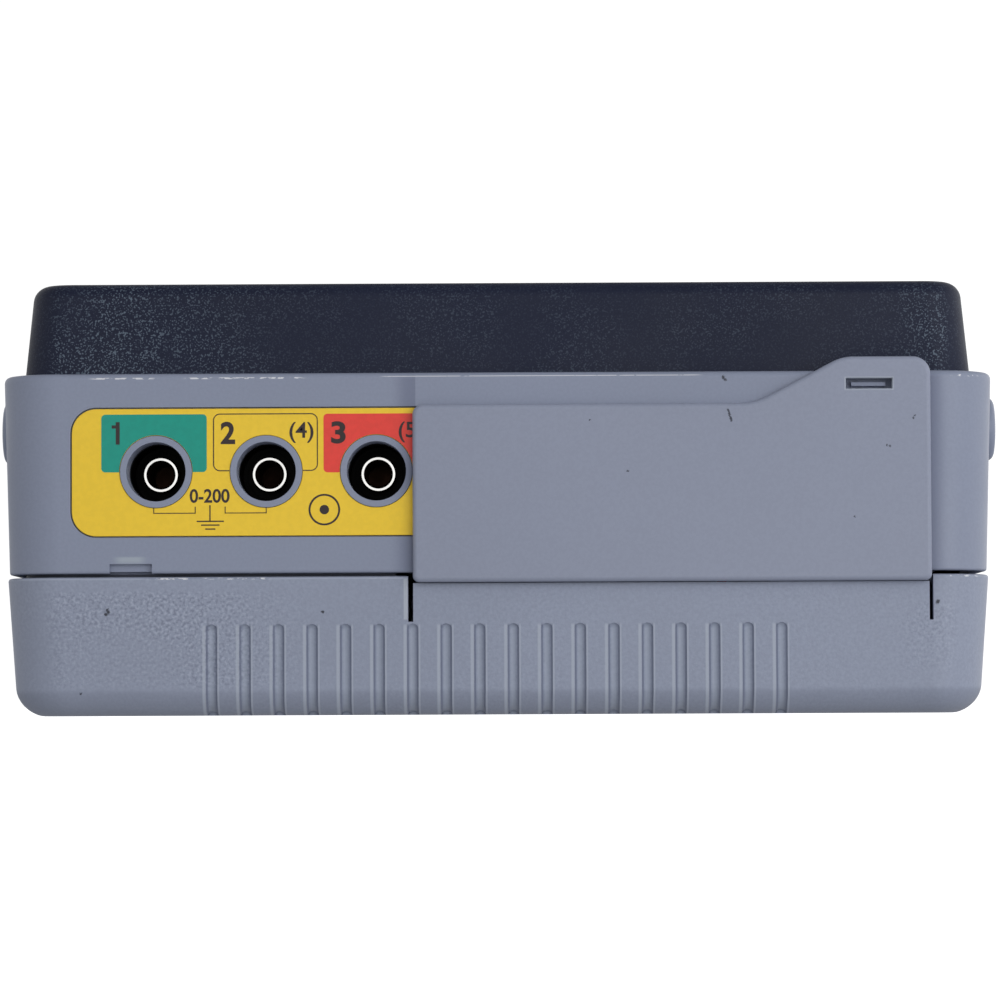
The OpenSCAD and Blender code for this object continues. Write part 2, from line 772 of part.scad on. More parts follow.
// Rotary switch: fixed body, and the shaft that the knob turns
switch_d = 24;
bush_d = 10;
switch_gap = 1;
module range_switch() {
    body_h = control_drop - 2;
    color("#2f4f7c")
        at_knob() difference() {
            union() {
                translate([0, 0, control_z]) cylinder(d = switch_d, h = body_h - 2);
                translate([0, 0, control_z]) cylinder(d = bush_d, h = control_drop - gap);
                for (a = [0 : 60 : 300])
                    rotate([0, 0, a]) translate([switch_d / 2 - 2, 0, control_under - 1.4])
                        cylinder(d = 0.9, h = board_t + 2);
            }
            translate([0, 0, control_z + 1]) cylinder(d = shaft_d + 2 * running, h = control_drop);
        }
}

module switch_shaft() {
    color("#c8cacc")
        at_knob() difference() {
            translate([0, 0, control_z + 1 + gap])
                cylinder(d = shaft_d, h = face_z + knob_h - 1.6 - gap - control_z - 1 - gap);
            translate([0, 0, face_z + 2.5]) block(shaft_d / 2 - 1, shaft_d, -shaft_d, shaft_d, 0, knob_h);
        }
}

// Test button: a turning cap on a sprung plunger over a push switch
cap_h = 5.2;
cap_wall = 1.3;
cap_roof = 1.4;
stem_d = 5;
flange_t = 1;
flange_z = panel_z - gap - flange_t;
flange_rim = 0.7;
guide_wall = 1.6;
guide_drop = 3;
button_gap = 0.45;
flange_d = button_d + 2 * flange_rim;
guide_d = flange_d + 2 * (gap + guide_wall);
bezel_slope = 0.5;
module at_button() {
    translate([button_x, button_y, 0]) children();
}

module test_button() {
    foot = panel_z - gap + seat;
    roof_z = face_z + cap_h - cap_roof;
    chamfer = 1;
    color("#d9a52c")
        at_button() difference() {
            union() {
                translate([0, 0, foot]) cylinder(d = button_d, h = face_z + cap_h - chamfer - foot);
                translate([0, 0, face_z + cap_h - chamfer])
                    cylinder(d1 = button_d, d2 = button_d - 1.6, h = chamfer);
            }
            // Hollow round the boss that holds the stem
            translate([0, 0, foot - cut]) difference() {
                cylinder(d = button_d - 2 * cap_wall, h = roof_z - foot + cut);
                cylinder(d = stem_d + 3, h = roof_z - foot + cut);
            }
            translate([0, 0, foot - cut]) cylinder(d = stem_d + 2 * running, h = roof_z - foot);
            // Line that shows the turned position
            translate([0, 0, face_z + cap_h - 0.5])
                block(-0.7, 0.7, -button_d / 2 + 2, button_d / 2 - 2, 0, 1);
        }
}

// Countersunk bezel round the button; the plunger's flange stops against its underside
module bezel_cone(height, grow, over) {
    translate([0, 0, -over])
        cylinder(d1 = guide_d + 2 * (grow - bezel_slope * over),
            d2 = guide_d + 2 * (grow + bezel_slope * (height + over)), h = height + 2 * over);
}

module test_bezel() {
    rise = 0.8;
    color("#2b2e40")
        at_button() difference() {
            translate([0, 0, panel_z]) bezel_cone(panel_t + rise, 0, 0);
            translate([0, 0, panel_z - cut])
                cylinder(d = button_d + 2 * button_gap, h = panel_t + rise + 2 * cut);
        }
}

// Ring under the panel in which the plunger's flange slides
module test_guide() {
    color("#8d9099")
        at_button() difference() {
            translate([0, 0, panel_z - guide_drop]) cylinder(d = guide_d, h = guide_drop);
            translate([0, 0, panel_z - guide_drop - cut])
                cylinder(d = flange_d + 2 * gap, h = guide_drop + 2 * cut);
        }
}

module test_plunger() {
    foot = control_z + 3.4 + button_travel + cut;
    color("#e8e8e4")
        at_button() {
            translate([0, 0, foot]) cylinder(d = stem_d, h = face_z + cap_h - cap_roof - gap - foot);
            translate([0, 0, flange_z]) cylinder(d = flange_d, h = flange_t);
        }
}

// Return spring, a round wire swept along a helix
spring_r = 4.5;
wire_r = 0.4;
spring_turns = 4;
spring_sides = 6;
turn_steps = 14;
module test_spring() {
    z0 = control_z + wire_r + 0.02;
    z1 = flange_z - wire_r - 0.02;
    steps = spring_turns * turn_steps;
    function along(k) = k * 360 / turn_steps;
    function height(k) = z0 + (z1 - z0) * max(0, min(1, (k - turn_steps / 2) / (steps - turn_steps)));
    points = [for (k = [0 : steps], j = [0 : spring_sides - 1])
        let (a = along(k), b = j * 360 / spring_sides, r = spring_r + wire_r * cos(b))
        [r * cos(a), r * sin(a), height(k) + wire_r * sin(b)]];
    sides = [for (k = [0 : steps - 1], j = [0 : spring_sides - 1])
        let (m = spring_sides, n = (j + 1) % spring_sides)
        [k * m + j, k * m + n, (k + 1) * m + n, (k + 1) * m + j]];
    ends = [
        [for (j = [spring_sides - 1 : -1 : 0]) j],
        [for (j = [0 : spring_sides - 1]) steps * spring_sides + j]
    ];
    color("#b9bcc0") at_button() polyhedron(points = points, faces = concat(sides, ends));
}

module test_switch() {
    color("#1c1c20")
        at_button() {
            translate([0, 0, control_z]) cylinder(d = 6.6, h = 2.6);
            translate([0, 0, control_z]) cylinder(d = 3, h = 3.4);
        }
}

// Control board under the face panel
module control_board() {
    color("#2f6b45")
        difference() {
            prism(-control_half, control_half, control_front, -control_front, control_under, control_z, 1);
            at_control_posts() translate([0, 0, control_under - cut])
                cylinder(d = screw_d + 2 * seat, h = board_t + 2 * cut);
            at_knob() for (a = [0 : 60 : 300])
                rotate([0, 0, a]) translate([switch_d / 2 - 2, 0, control_under - cut])
                    cylinder(d = 0.9 + 2 * seat, h = board_t + 2 * cut);
        }
}

module control_screws() {
    color("#b4b6ba") at_control_posts() translate([0, 0, control_under]) screw(board_t + 4);
}

// Pin header that joins the two boards
link_x = 6;
link_y = 31;
module board_link() {
    color("#1c1c20") {
        block(link_x - 15, link_x + 15, link_y - 2.5, link_y + 2.5, main_top, main_top + 8.5);
        block(link_x - 15, link_x + 15, link_y - 2.5, link_y + 2.5, control_under - 8.5, control_under);
        for (i = [-5 : 5])
            translate([link_x + i * 2.54, link_y, main_top + 8])
                cylinder(d = 0.8, h = control_under - main_top - 16);
    }
}

// Terminals: black well block, contact tubes, nuts and leads
module at_terminal(i) {
    translate([terminal_x + (i - 2) * terminal_pitch, 0, terminal_z]) children();
}

module terminal_block() {
    foot_w = 3;
    color("#17171a")
        difference() {
            union() {
                block(terminal_x - terminal_pitch - block_side, terminal_x + terminal_pitch + block_side,
                    block_front, block_back, terminal_z - block_h / 2, terminal_z + block_h / 2);
                for (sx = [-1, 1])
                    translate([terminal_x + sx * (terminal_pitch + block_side - foot_w / 2), 0, 0])
                        block(-foot_w / 2, foot_w / 2, block_front + 3, block_back,
                            main_top, terminal_z - block_h / 2 + cut);
            }
            for (i = [1 : 3]) {
                at_terminal(i) translate([0, block_front - cut, 0])
                    rotate([-90, 0, 0]) cylinder(d = well_d, h = well_floor - block_front + cut);
                at_terminal(i) translate([0, block_front, 0])
                    rotate([-90, 0, 0]) cylinder(d = tube_d + 2 * seat, h = block_back - block_front + cut);
            }
            at_board_posts() translate([0, 0, main_top - cut])
                cylinder(d = head_d + 2 * gap, h = screw_head_h() + gap + cut);
        }
}

module terminal_tube(i) {
    mouth_d = 4.9;
    mouth_l = 0.6;
    shoulder_l = 1;
    color("#d8d6d0")
        at_terminal(i) difference() {
            union() {
                translate([0, tube_tip, 0])
                    rotate([-90, 0, 0]) cylinder(d = tube_d, h = tube_back - tube_tip);
                translate([0, well_floor - shoulder_l, 0])
                    rotate([-90, 0, 0]) cylinder(d = tube_d + 2, h = shoulder_l - seat);
            }
            translate([0, tube_tip - cut, 0])
                rotate([-90, 0, 0]) cylinder(d = plug_bore, h = tube_bore_l + cut);
            translate([0, tube_tip, 0])
                rotate([-90, 0, 0]) cylinder(d1 = mouth_d, d2 = plug_bore, h = mouth_l);
        }
}

module terminal_tube_1() { terminal_tube(1); }
module terminal_tube_2() { terminal_tube(2); }
module terminal_tube_3() { terminal_tube(3); }

module terminal_nuts() {
    color("#c8b070")
        for (i = [1 : 3])
            at_terminal(i) translate([0, block_back + seat, 0])
                rotate([-90, 0, 0]) difference() {
                    cylinder(d = nut_d, h = nut_t, $fn = 6);
                    translate([0, 0, -cut]) cylinder(d = tube_d + 2 * seat, h = nut_t + 2 * cut);
                }
}

module terminal_leads() {
    color("#b03030")
        for (i = [1 : 3])
            at_terminal(i) {
                translate([0, tube_back + seat, 0]) rotate([-90, 0, 0]) cylinder(d = lead_d, h = 2);
                translate([0, tube_back + seat + 2, -lead_bend])
                    rotate([0, -90, 0]) rotate_extrude(angle = 90)
                        translate([lead_bend, 0]) circle(d = lead_d);
                translate([0, tube_back + seat + 2 + lead_bend, main_top + seat - terminal_z])
                    cylinder(d = lead_d, h = terminal_z - lead_bend - main_top - seat);
            }
}

// Shutter that slides over the terminals
module shutter_outline() {
    shoulder_run = (tab_top - shutter_top) / tan(tab_slope);
    polygon(rounded([
        [shutter_left, lip_z, 1], [shutter_right, lip_z, 1],
        [shutter_right, tab_top, 2.8], [shutter_right - tab_w, tab_top, 6.4],
        [shutter_right - tab_w - shoulder_run, shutter_top, 8.4], [shutter_left, shutter_top, 1.6]
    ]));
}

module terminal_shutter() {
    color("#868ca0") {
        difference() {
            translate([0, shutter_back_y, 0])
                rotate([90, 0, 0]) linear_extrude(shutter_t) shutter_outline();
            block(window_x, window_x + window_w, shutter_front_y - cut, shutter_back_y + cut,
                window_mid_z - window_h / 2, window_mid_z + window_h / 2);
        }
        // Hook over the ledge into its track
        block(hook_left, hook_left + hook_w, shutter_back_y - cut, front + track_wall + gap + hook_t,
            ledge_z + gap, tab_top - 0.6);
        block(hook_left, hook_left + hook_w, front + track_wall + gap, front + track_wall + gap + hook_t,
            ledge_z - hook_drop, ledge_z + gap + cut);
        // Lip through the seam with a bead behind the tongue
        block(lip_left, lip_right, shutter_back_y - cut, bead_y + bead_t, lip_z, lip_top);
        block(lip_left, lip_right, bead_y, bead_y + bead_t, lip_top - bead_drop - lip_t, lip_top);
    }
}

// Main board and what stands on it
module main_board() {
    color("#2f6b45")
        difference() {
            prism(-main_w / 2, main_w / 2, -main_l / 2, main_l / 2, main_z, main_top, 1.5);
            at_pillars() translate([0, 0, main_z - cut]) cylinder(d = pillar_d + 2, h = board_t + 2 * cut);
            at_board_posts() translate([0, 0, main_z - cut])
                cylinder(d = screw_d + 2 * seat, h = board_t + 2 * cut);
        }
}

module board_screws() {
    color("#b4b6ba")
        at_board_posts() translate([0, 0, main_top]) rotate([180, 0, 0]) screw(board_t + 4);
}

module board_chips() {
    color("#202226")
        for (c = [[-20, 0, 14, 14], [6, 4, 10, 8], [-42, 4, 7, 12], [24, 20, 10, 6], [-30, 24, 16, 6]])
            block(c[0] - c[2] / 2, c[0] + c[2] / 2, c[1] - c[3] / 2, c[1] + c[3] / 2,
                main_top, main_top + 1.8);
}

module board_capacitors() {
    color("#30344a")
        for (c = [[46, 8, 8, 12], [46, 20, 8, 12], [34, 26, 6.3, 9], [-50, 22, 6.3, 9]])
            translate([c[0], c[1], main_top]) difference() {
                cylinder(d = c[2], h = c[3]);
                translate([0, 0, 1.4]) rotate_extrude() translate([c[2] / 2, 0]) circle(r = 0.5);
            }
}

fuse_inset = 12;
fuse_x = main_w / 2 - fuse_inset;
fuse_y = -18;
relay_w = 10;
relay_pitch = relay_w + 4;
module board_relays() {
    color("#d8d4c4")
        for (i = [1 : 3])
            translate([fuse_x - i * relay_pitch, 0, 0])
                prism(-relay_w / 2, relay_w / 2, -36, -21, main_top, main_top + 10, 0.6);
}

module board_transformer() {
    color("#8a6a3a") translate([24, -6, main_top]) {
        block(-9, 9, -8, 8, 0, 3);
        block(-6, 6, -6.5, 6.5, 2.9, 13);
        block(-9, 9, -3, 3, 2.9, 14.5);
    }
}

fuse_z = main_top + 5;
module fuse() {
    color("#d9dcd8") translate([fuse_x, fuse_y, fuse_z]) rotate([-90, 0, 0]) {
        translate([0, 0, -10]) cylinder(d = 5.2, h = 5);
        translate([0, 0, -5]) cylinder(d = 4.8, h = 10);
        translate([0, 0, 5]) cylinder(d = 5.2, h = 5);
    }
}

module fuse_clips() {
    color("#b9b6a8")
        for (y = [-8, 5])
            translate([fuse_x, fuse_y + y, 0]) difference() {
                block(-3.4, 3.4, 0, 3, main_top, fuse_z + 2);
                translate([0, -cut, fuse_z])
                    rotate([-90, 0, 0]) cylinder(d = 5.2 + 2 * seat, h = 3 + 2 * cut);
                block(-1.9, 1.9, -cut, 3 + cut, fuse_z, fuse_z + 3);
            }
}

// Battery door, its pad and its screw
module battery_door() {
    color("#747a8e")
        difference() {
            union() {
                prism(-door_half, door_half, door_front, door_back, door_z, pad_z, 1.8);
                translate([0, ear_y, door_z]) cylinder(r = ear_r, h = door_t);
                for (sx = [-1, 1])
                    block(sx * tongue_x - tongue_w / 2, sx * tongue_x + tongue_w / 2,
                        door_front - tongue_l, door_front + cut, pad_z - tongue_t, pad_z);
            }
            translate([0, ear_y, door_z - cut]) cylinder(d = screw_d + 2 * seat, h = door_t + 2 * cut);
            translate([0, ear_y, door_z - cut]) cylinder(d = head_d + 2 * seat, h = 1.1 + cut);
            // Grip ribs
            for (i = [-3 : 3])
                block(-9, 9, door_back - 8 + i * 2 - 0.4, door_back - 8 + i * 2 + 0.4,
                    door_z - cut, door_z + 0.4);
        }
}

module door_pad() {
    color("#3a3a3e")
        block(-box_half + 2, box_half - 2, -4, 4, pad_z, pad_z + pad_t);
}

module door_screw() {
    color("#b4b6ba")
        translate([0, ear_y, door_z]) {
            difference() {
                translate([0, 0, 0.1]) cylinder(d = head_d, h = 1);
                block(-head_d, head_d, -0.5, 0.5, 0, 0.7);
            }
            translate([0, 0, 1]) cylinder(d = screw_d, h = door_t + 4);
        }
}

// Cells lie side by side with alternate ends to the front
function cell_x(i) = (i - (cell_n - 1) / 2) * cell_pitch;
function cell_turn(i) = i % 2 == 0 ? 1 : -1;
module at_cell(i) {
    translate([cell_x(i), 0, cell_z]) rotate([cell_turn(i) > 0 ? -90 : 90, 0, 0]) children();
}

module battery_cells() {
    body_l = cell_l - nub_l;
    for (i = [0 : cell_n - 1])
        color("#c9a24a")
            at_cell(i) translate([0, 0, spring_room / 2 - cell_l / 2]) {
                cylinder(d = cell_d, h = body_l);
                cylinder(d = nub_d, h = cell_l);
            }
}

module battery_springs() {
    spring_d = 7;
    turns = 5;
    thick = spring_room * 0.22;
    step = (spring_room - thick - 2 * seat) / (turns - 1);
    color("#b9bcc0")
        for (i = [0 : cell_n - 1])
            at_cell(i) translate([0, 0, -box_len + plate_t])
                for (k = [0 : turns - 1])
                    translate([0, 0, seat + thick / 2 + step * k])
                        rotate_extrude() translate([spring_d / 2 - k * 0.3, 0]) circle(d = thick);
}

// Contact plates at both ends; two of them have a tail through the roof
plate_w = 11;
module at_contact_tails() {
    for (i = [0, cell_n - 1])
        translate([cell_x(i), -box_len + plate_t / 2, 0]) children();
}

module battery_contacts() {
    low = cell_z - plate_w / 2;
    high = cell_z + plate_w / 2;
    side = plate_w / 2;
    near = -box_len + 0.01;
    far = -box_len + plate_t;
    color("#b9b6a8") {
        for (i = [0 : 2 : cell_n - 2])
            block(cell_x(i) - side, cell_x(i + 1) + side, -far, -near, low, high);
        for (i = [1 : 2 : cell_n - 3])
            block(cell_x(i) - side, cell_x(i + 1) + side, near, far, low, high);
        for (i = [0, cell_n - 1]) {
            block(cell_x(i) - side, cell_x(i) + side, near, far, low, high);
            block(cell_x(i) - 1.5, cell_x(i) + 1.5, near, far, high - cut, box_top + roof_t + 1);
        }
    }
}

module battery_leads() {
    color("#b03030")
        at_contact_tails()
            translate([0, 0, box_top + roof_t + 1 + seat])
                cylinder(d = 1.6, h = main_z - box_top - roof_t - 1 - 2 * seat);
}

module case_screws() {
    color("#b4b6ba")
        at_pillars() translate([0, 0, counterbore_z]) screw(ledge_z - counterbore_z);
}

// Strap studs on the sides and the screws that hold them from inside
stud_lean = middle_taper * (ledge_z - ledge_r - stud_z - stud_neck_d / 2) / (ledge_z - ledge_r - middle_z);
stud_foot = half_w - max(0, stud_lean) + seat;
module strap_stud(side) {
    dome = 1.2;
    color("#7f8599")
        translate([side * stud_foot, 0, stud_z])
            rotate([0, side * 90, 0]) difference() {
                union() {
                    cylinder(d = stud_neck_d, h = stud_h - 2);
                    translate([0, 0, stud_h / 2]) cylinder(d = stud_d, h = stud_h / 2 - dome);
                    translate([0, 0, stud_h - dome]) cylinder(d1 = stud_d, d2 = stud_d - 3, h = dome);
                }
                translate([0, 0, -cut]) cylinder(d = screw_d + 2 * seat, h = stud_h - 1.6);
            }
}

module strap_stud_left() { strap_stud(-1); }
module strap_stud_right() { strap_stud(1); }

module stud_screws() {
    color("#b4b6ba")
        for (side = [-1, 1])
            translate([side * (half_w - wall - 2.4 - seat), 0, stud_z])
                rotate([0, side * 90, 0]) screw(wall + 2.4 + stud_h - 3);
}

lower_case();
middle_case();
upper_case();
face_panel();
display_window();
display_module();
ok_lamp();
range_knob();
knob_pointer();
switch_shaft();
range_switch();
test_button();
test_bezel();
test_guide();
test_plunger();
test_spring();
test_switch();
control_board();
control_screws();
board_link();
terminal_label();
terminal_block();
terminal_tube_1();
terminal_tube_2();
terminal_tube_3();
terminal_nuts();
terminal_leads();
terminal_shutter();
main_board();
board_screws();
board_chips();
board_capacitors();
board_relays();
board_transformer();
fuse();
fuse_clips();
battery_door();
door_pad();
door_screw();
battery_cells();
battery_springs();
battery_contacts();
battery_leads();
case_screws();
strap_stud_left();
strap_stud_right();
stud_screws();
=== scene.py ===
# %% [markdown]
# # A hand-held ground resistance tester
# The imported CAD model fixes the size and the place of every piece. The mouldings that show are
# modelled again as shells with soft edges, the printing is laid on as thin ink, and each piece
# inside gets the finish of its own material.

# %% Load the frame
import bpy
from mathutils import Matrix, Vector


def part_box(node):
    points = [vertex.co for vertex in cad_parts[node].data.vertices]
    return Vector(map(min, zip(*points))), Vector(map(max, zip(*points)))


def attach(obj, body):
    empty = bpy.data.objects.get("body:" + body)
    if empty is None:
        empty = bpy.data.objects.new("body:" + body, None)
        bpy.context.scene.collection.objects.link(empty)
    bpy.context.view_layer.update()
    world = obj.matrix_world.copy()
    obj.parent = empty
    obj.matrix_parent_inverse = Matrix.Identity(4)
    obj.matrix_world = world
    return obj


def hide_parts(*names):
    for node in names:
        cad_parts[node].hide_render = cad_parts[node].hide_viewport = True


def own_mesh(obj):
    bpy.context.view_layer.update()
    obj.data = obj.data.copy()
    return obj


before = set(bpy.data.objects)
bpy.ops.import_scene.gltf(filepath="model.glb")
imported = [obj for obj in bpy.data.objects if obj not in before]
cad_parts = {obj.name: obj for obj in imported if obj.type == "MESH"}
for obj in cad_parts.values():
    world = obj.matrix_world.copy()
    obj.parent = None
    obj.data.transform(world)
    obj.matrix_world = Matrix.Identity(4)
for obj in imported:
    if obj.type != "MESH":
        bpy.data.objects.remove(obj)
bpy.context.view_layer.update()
import math
import bmesh
import bpy
from mathutils import Vector

# %% [markdown]
# ## Sizes
# Sizes are millimetres, and the helpers turn them into metres. The outside sizes come from the
# frame, so the shells are as large as the CAD says.

# %% Sizes that the frame gives
MM = 0.001


def box_mm(node):
    low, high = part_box(node)
    return low / MM, high / MM


half_w, back, ledge = box_mm("middle_case")[1]
front = -back
lower_half, lower_front = box_mm("lower_case")[1].x, box_mm("lower_case")[0].y
upper_half, rim = box_mm("upper_case")[1].xz
upper_front = box_mm("upper_case")[0].y
# Top edge of the lower half and bottom edge of the middle one, with the open seam between them
seam_low, seam_high = 21.95, 22.5
print("case", 2 * half_w, "by", 2 * back, "by", rim, "mm")

# %% [markdown]
# ## Camera
# The photo looks straight at the side with the terminals. Depths shrink towards a point near
# the table line, which puts the lens just above the table. It aims a little upwards, so that
# the instrument sits in the middle of the picture.

# %% Camera
PIXELS = 1000
SENSOR = 36
pixels_per_mm = 6.33
distance = 700
# Columns of the object's middle and of the vanishing point, and the row of the table line
middle_px, vanishing_px = 497.5, 520
table_px = 714.5
# The lens stands at the vanishing point and looks at what fills the middle of the picture
camera_x, camera_z = (vanishing_px - middle_px) / pixels_per_mm, 1.5
aim_x, aim_z = (PIXELS / 2 - middle_px) / pixels_per_mm, (table_px - PIXELS / 2) / pixels_per_mm
roll = -0.25
camera = bpy.data.objects.new("camera", bpy.data.cameras.new("camera"))
bpy.context.scene.collection.objects.link(camera)
camera.data.sensor_width = SENSOR
camera.data.lens = pixels_per_mm * distance / PIXELS * SENSOR
camera.data.clip_start = 0.01
camera.location = Vector((camera_x, front - distance, camera_z)) * MM
view = Vector((aim_x - camera_x, distance, aim_z - camera_z))
camera.rotation_euler = view.to_track_quat("-Z", "Y").to_euler()
camera.rotation_euler.rotate_axis("Z", math.radians(roll))
bpy.context.scene.camera = camera
print("lens", round(camera.data.lens, 1), "mm")

# %% [markdown]
# ## Table and light
# The walls of a white room are bright all round, more so at the right, while the ceiling and
# the half below the table are dim, so that edges which face up or down stay as dark as in the
# photo. The table is an opal light table, white without a shadow, and throws no light back for
# the same reason; from below it is clear, so that the bottom can be looked at. One wide lamp
# stands in front at the right.

# %% Table and light
scene = bpy.context.scene
scene.view_settings.view_transform = "Standard"
wall_strength, ground_strength = 1.0, 0.36
ceiling_share, left_share, right_share = 0.25, 0.74, 1.42


def linear(code):
    """An sRGB hex colour as linear red, green, blue and a full alpha."""
    parts = [int(code[i:i + 2], 16) / 255 for i in (1, 3, 5)]
    return [p / 12.92 if p <= 0.04045 else ((p + 0.055) / 1.055) ** 2.4 for p in parts] + [1]


def add(tree, kind, inputs=None, **settings):
    """Adds a node: settings are its properties, inputs its sockets as values or as links."""
    made = tree.nodes.new("ShaderNode" + kind)
    for name, value in settings.items():
        setattr(made, name, value)
    for socket, value in (inputs or {}).items():
        if isinstance(value, bpy.types.NodeSocket):
            tree.links.new(value, made.inputs[socket])
        else:
            made.inputs[socket].default_value = value
    return made


def new_material(name, colour, roughness, specular=0.4):
    """A material with its node tree and its shader."""
    made = bpy.data.materials.new(name)
    made.use_nodes = True
    shader = made.node_tree.nodes["Principled BSDF"]
    shader.inputs["Base Color"].default_value = linear(colour)
    shader.inputs["Roughness"].default_value = roughness
    shader.inputs["Specular IOR Level"].default_value = specular
    return made, made.node_tree, shader


def maths(tree, how, a, b=0.0, c=0.0):
    return add(tree, "Math", {0: a, 1: b, 2: c}, operation=how).outputs[0]


def ramp(tree, value, low, high, out_low=0.0, out_high=1.0, curve="SMOOTHSTEP"):
    return add(tree, "MapRange", {0: value, 1: low, 2: high, 3: out_low, 4: out_high},
               interpolation_type=curve).outputs[0]


world = bpy.data.worlds.new("white_room")
scene.world = world
world.use_nodes = True
sky = world.node_tree
across, _, up = add(sky, "SeparateXYZ", {0: add(sky, "TexCoord").outputs["Generated"]}).outputs
walls = ramp(sky, up, -0.06, 0, ground_strength, wall_strength, "LINEAR")
ceiling = ramp(sky, up, 0.2, 0.8, 1, ceiling_share, "LINEAR")
sides = ramp(sky, across, -1, 1, left_share, right_share, "LINEAR")
room = maths(sky, "MULTIPLY", maths(sky, "MULTIPLY", walls, ceiling), sides)
background = sky.nodes["Background"]
background.inputs["Color"].default_value = (1, 1, 1, 1)
sky.links.new(room, background.inputs["Strength"])

bpy.ops.object.select_all(action="DESELECT")
bpy.ops.mesh.primitive_plane_add(size=30, location=(0, 0, -0.05 * MM))
table = bpy.context.object
table.name = "table"
table_finish, tree, shader = new_material("opal_acrylic_lit_from_below", "#F6F6F6", 0.9, 0.0)
shader.inputs["Emission Color"].default_value = (1, 1, 1, 1)
shader.inputs["Emission Strength"].default_value = 0.9
from_below = add(tree, "NewGeometry").outputs["Backfacing"]
one_sided = add(tree, "MixShader", {0: from_below, 1: shader.outputs[0],
                                    2: add(tree, "BsdfTransparent").outputs[0]})
tree.links.new(one_sided.outputs[0], tree.nodes["Material Output"].inputs[0])
table.data.materials.append(table_finish)
table.visible_diffuse = False
table.visible_glossy = False

# A soft square lamp that faces the middle of the case
lamp = bpy.data.objects.new("lamp_right", bpy.data.lights.new("lamp_right", "AREA"))
scene.collection.objects.link(lamp)
lamp.location = (0.3, -0.5, 0.12)
lamp.rotation_euler = (Vector((0, 0, 0.03)) - lamp.location).to_track_quat("-Z", "Y").to_euler()
lamp.data.size = 0.4
lamp.data.energy = 0.8
print("one lamp, table", table.dimensions.x, "m")

# %% [markdown]
# ## Tools for modelling
# Each piece starts as a primitive and is shaped in edit mode. These helpers select parts by
# where they are, round edges, cut one shape with another, and finish a piece with smooth
# shading, its material and the body that it rides on.

# %% Select and shape
# Two places closer than CLOSE are the same, vertices closer than WELD are merged, in millimetres,
# and edges that turn by less than SMOOTH degrees are shaded smooth
CLOSE, WELD, SMOOTH = 0.01, 0.0005, 32


def deselect():
    bpy.ops.object.select_all(action="DESELECT")


def settle(name):
    """Names the new object and moves its place into its mesh."""
    piece = bpy.context.object
    piece.name = piece.data.name = name
    bpy.ops.object.transform_apply(location=True, rotation=True, scale=True)
    return piece


def edit(piece, kind, test):
    """Opens a piece in edit mode with only those parts selected that pass the test."""
    deselect()
    bpy.context.view_layer.objects.active = piece
    piece.select_set(True)
    bpy.ops.object.mode_set(mode="EDIT")
    bpy.ops.mesh.select_mode(type=kind)
    bpy.ops.mesh.select_all(action="DESELECT")
    mesh = bmesh.from_edit_mesh(piece.data)
    for part in {"VERT": mesh.verts, "EDGE": mesh.edges, "FACE": mesh.faces}[kind]:
        if test(part):
            part.select_set(True)
    mesh.select_flush_mode()
    bmesh.update_edit_mesh(piece.data)


def leave():
    bpy.ops.object.mode_set(mode="OBJECT")


def weld():
    """Merges doubled vertices, turns all faces outward and leaves edit mode."""
    bpy.ops.mesh.select_all(action="SELECT")
    bpy.ops.mesh.remove_doubles(threshold=WELD * MM)
    bpy.ops.mesh.normals_make_consistent(inside=False)
    leave()


def everything(part):
    return True


def spot(part):
    """The middle of a vertex, an edge or a face, in millimetres."""
    points = [v.co for v in getattr(part, "verts", [part])]
    return sum(points, Vector()) / len(points) / MM


def span(edge):
    return (edge.verts[1].co - edge.verts[0].co) / MM


def level(edge, axis, value):
    """True if both ends of an edge lie at that value of an axis."""
    return all(abs(v.co[axis] / MM - value) < CLOSE for v in edge.verts)


def turns(edge, degrees=30):
    """True if the surface turns by more than that at an edge."""
    return len(edge.link_faces) == 2 and edge.calc_face_angle() > math.radians(degrees)


def at(axis, value, degrees=0):
    """A test for the edges at a value of an axis, or only the sharper ones if degrees are given."""
    return lambda e: level(e, axis, value) and (not degrees or turns(e, degrees))


def soften(piece, test, size, segments=3, profile=0.5):
    """Rounds the edges that pass the test; a profile below 0.5 is flatter than a round."""
    edit(piece, "EDGE", test)
    bpy.ops.mesh.bevel(offset=size * MM, segments=segments, profile=profile, affect="EDGES",
                       clamp_overlap=True)
    leave()


def slice_at(piece, axis, value):
    """Cuts all faces of a piece by a plane across an axis, which adds edges there."""
    edit(piece, "FACE", everything)
    along = [float(k == axis) for k in range(3)]
    bpy.ops.mesh.bisect(plane_co=[value * MM * share for share in along], plane_no=along)
    leave()


def stretch(piece, test, value, about):
    """Scales the vertices that pass the test about a point."""
    edit(piece, "VERT", test)
    bpy.ops.transform.resize(value=value, center_override=Vector(about) * MM)
    leave()


print("editing helpers ready")

# %% Primitives
X, Y, Z = 0, 1, 2
TURN = {"x": (0, math.pi / 2, 0), "-x": (0, -math.pi / 2, 0), "y": (-math.pi / 2, 0, 0),
        "-y": (math.pi / 2, 0, 0), "z": (0, 0, 0)}
ALONG = {"x": (1, 0, 0), "-x": (-1, 0, 0), "y": (0, 1, 0), "-y": (0, -1, 0), "z": (0, 0, 1)}


def block(name, low, high):
    """A box from corner to corner."""
    low, high = Vector(low) * MM, Vector(high) * MM
    deselect()
    bpy.ops.mesh.primitive_cube_add(size=1, location=(low + high) / 2, scale=high - low)
    return settle(name)


def rounded_block(name, low, high, radius, segments=12, axis=Z):
    """A box with its four edges along an axis rounded."""
    piece = block(name, low, high)
    length = high[axis] - low[axis]
    soften(piece, lambda e: abs(span(e)[axis]) > 0.9 * length, radius, segments)
    return piece


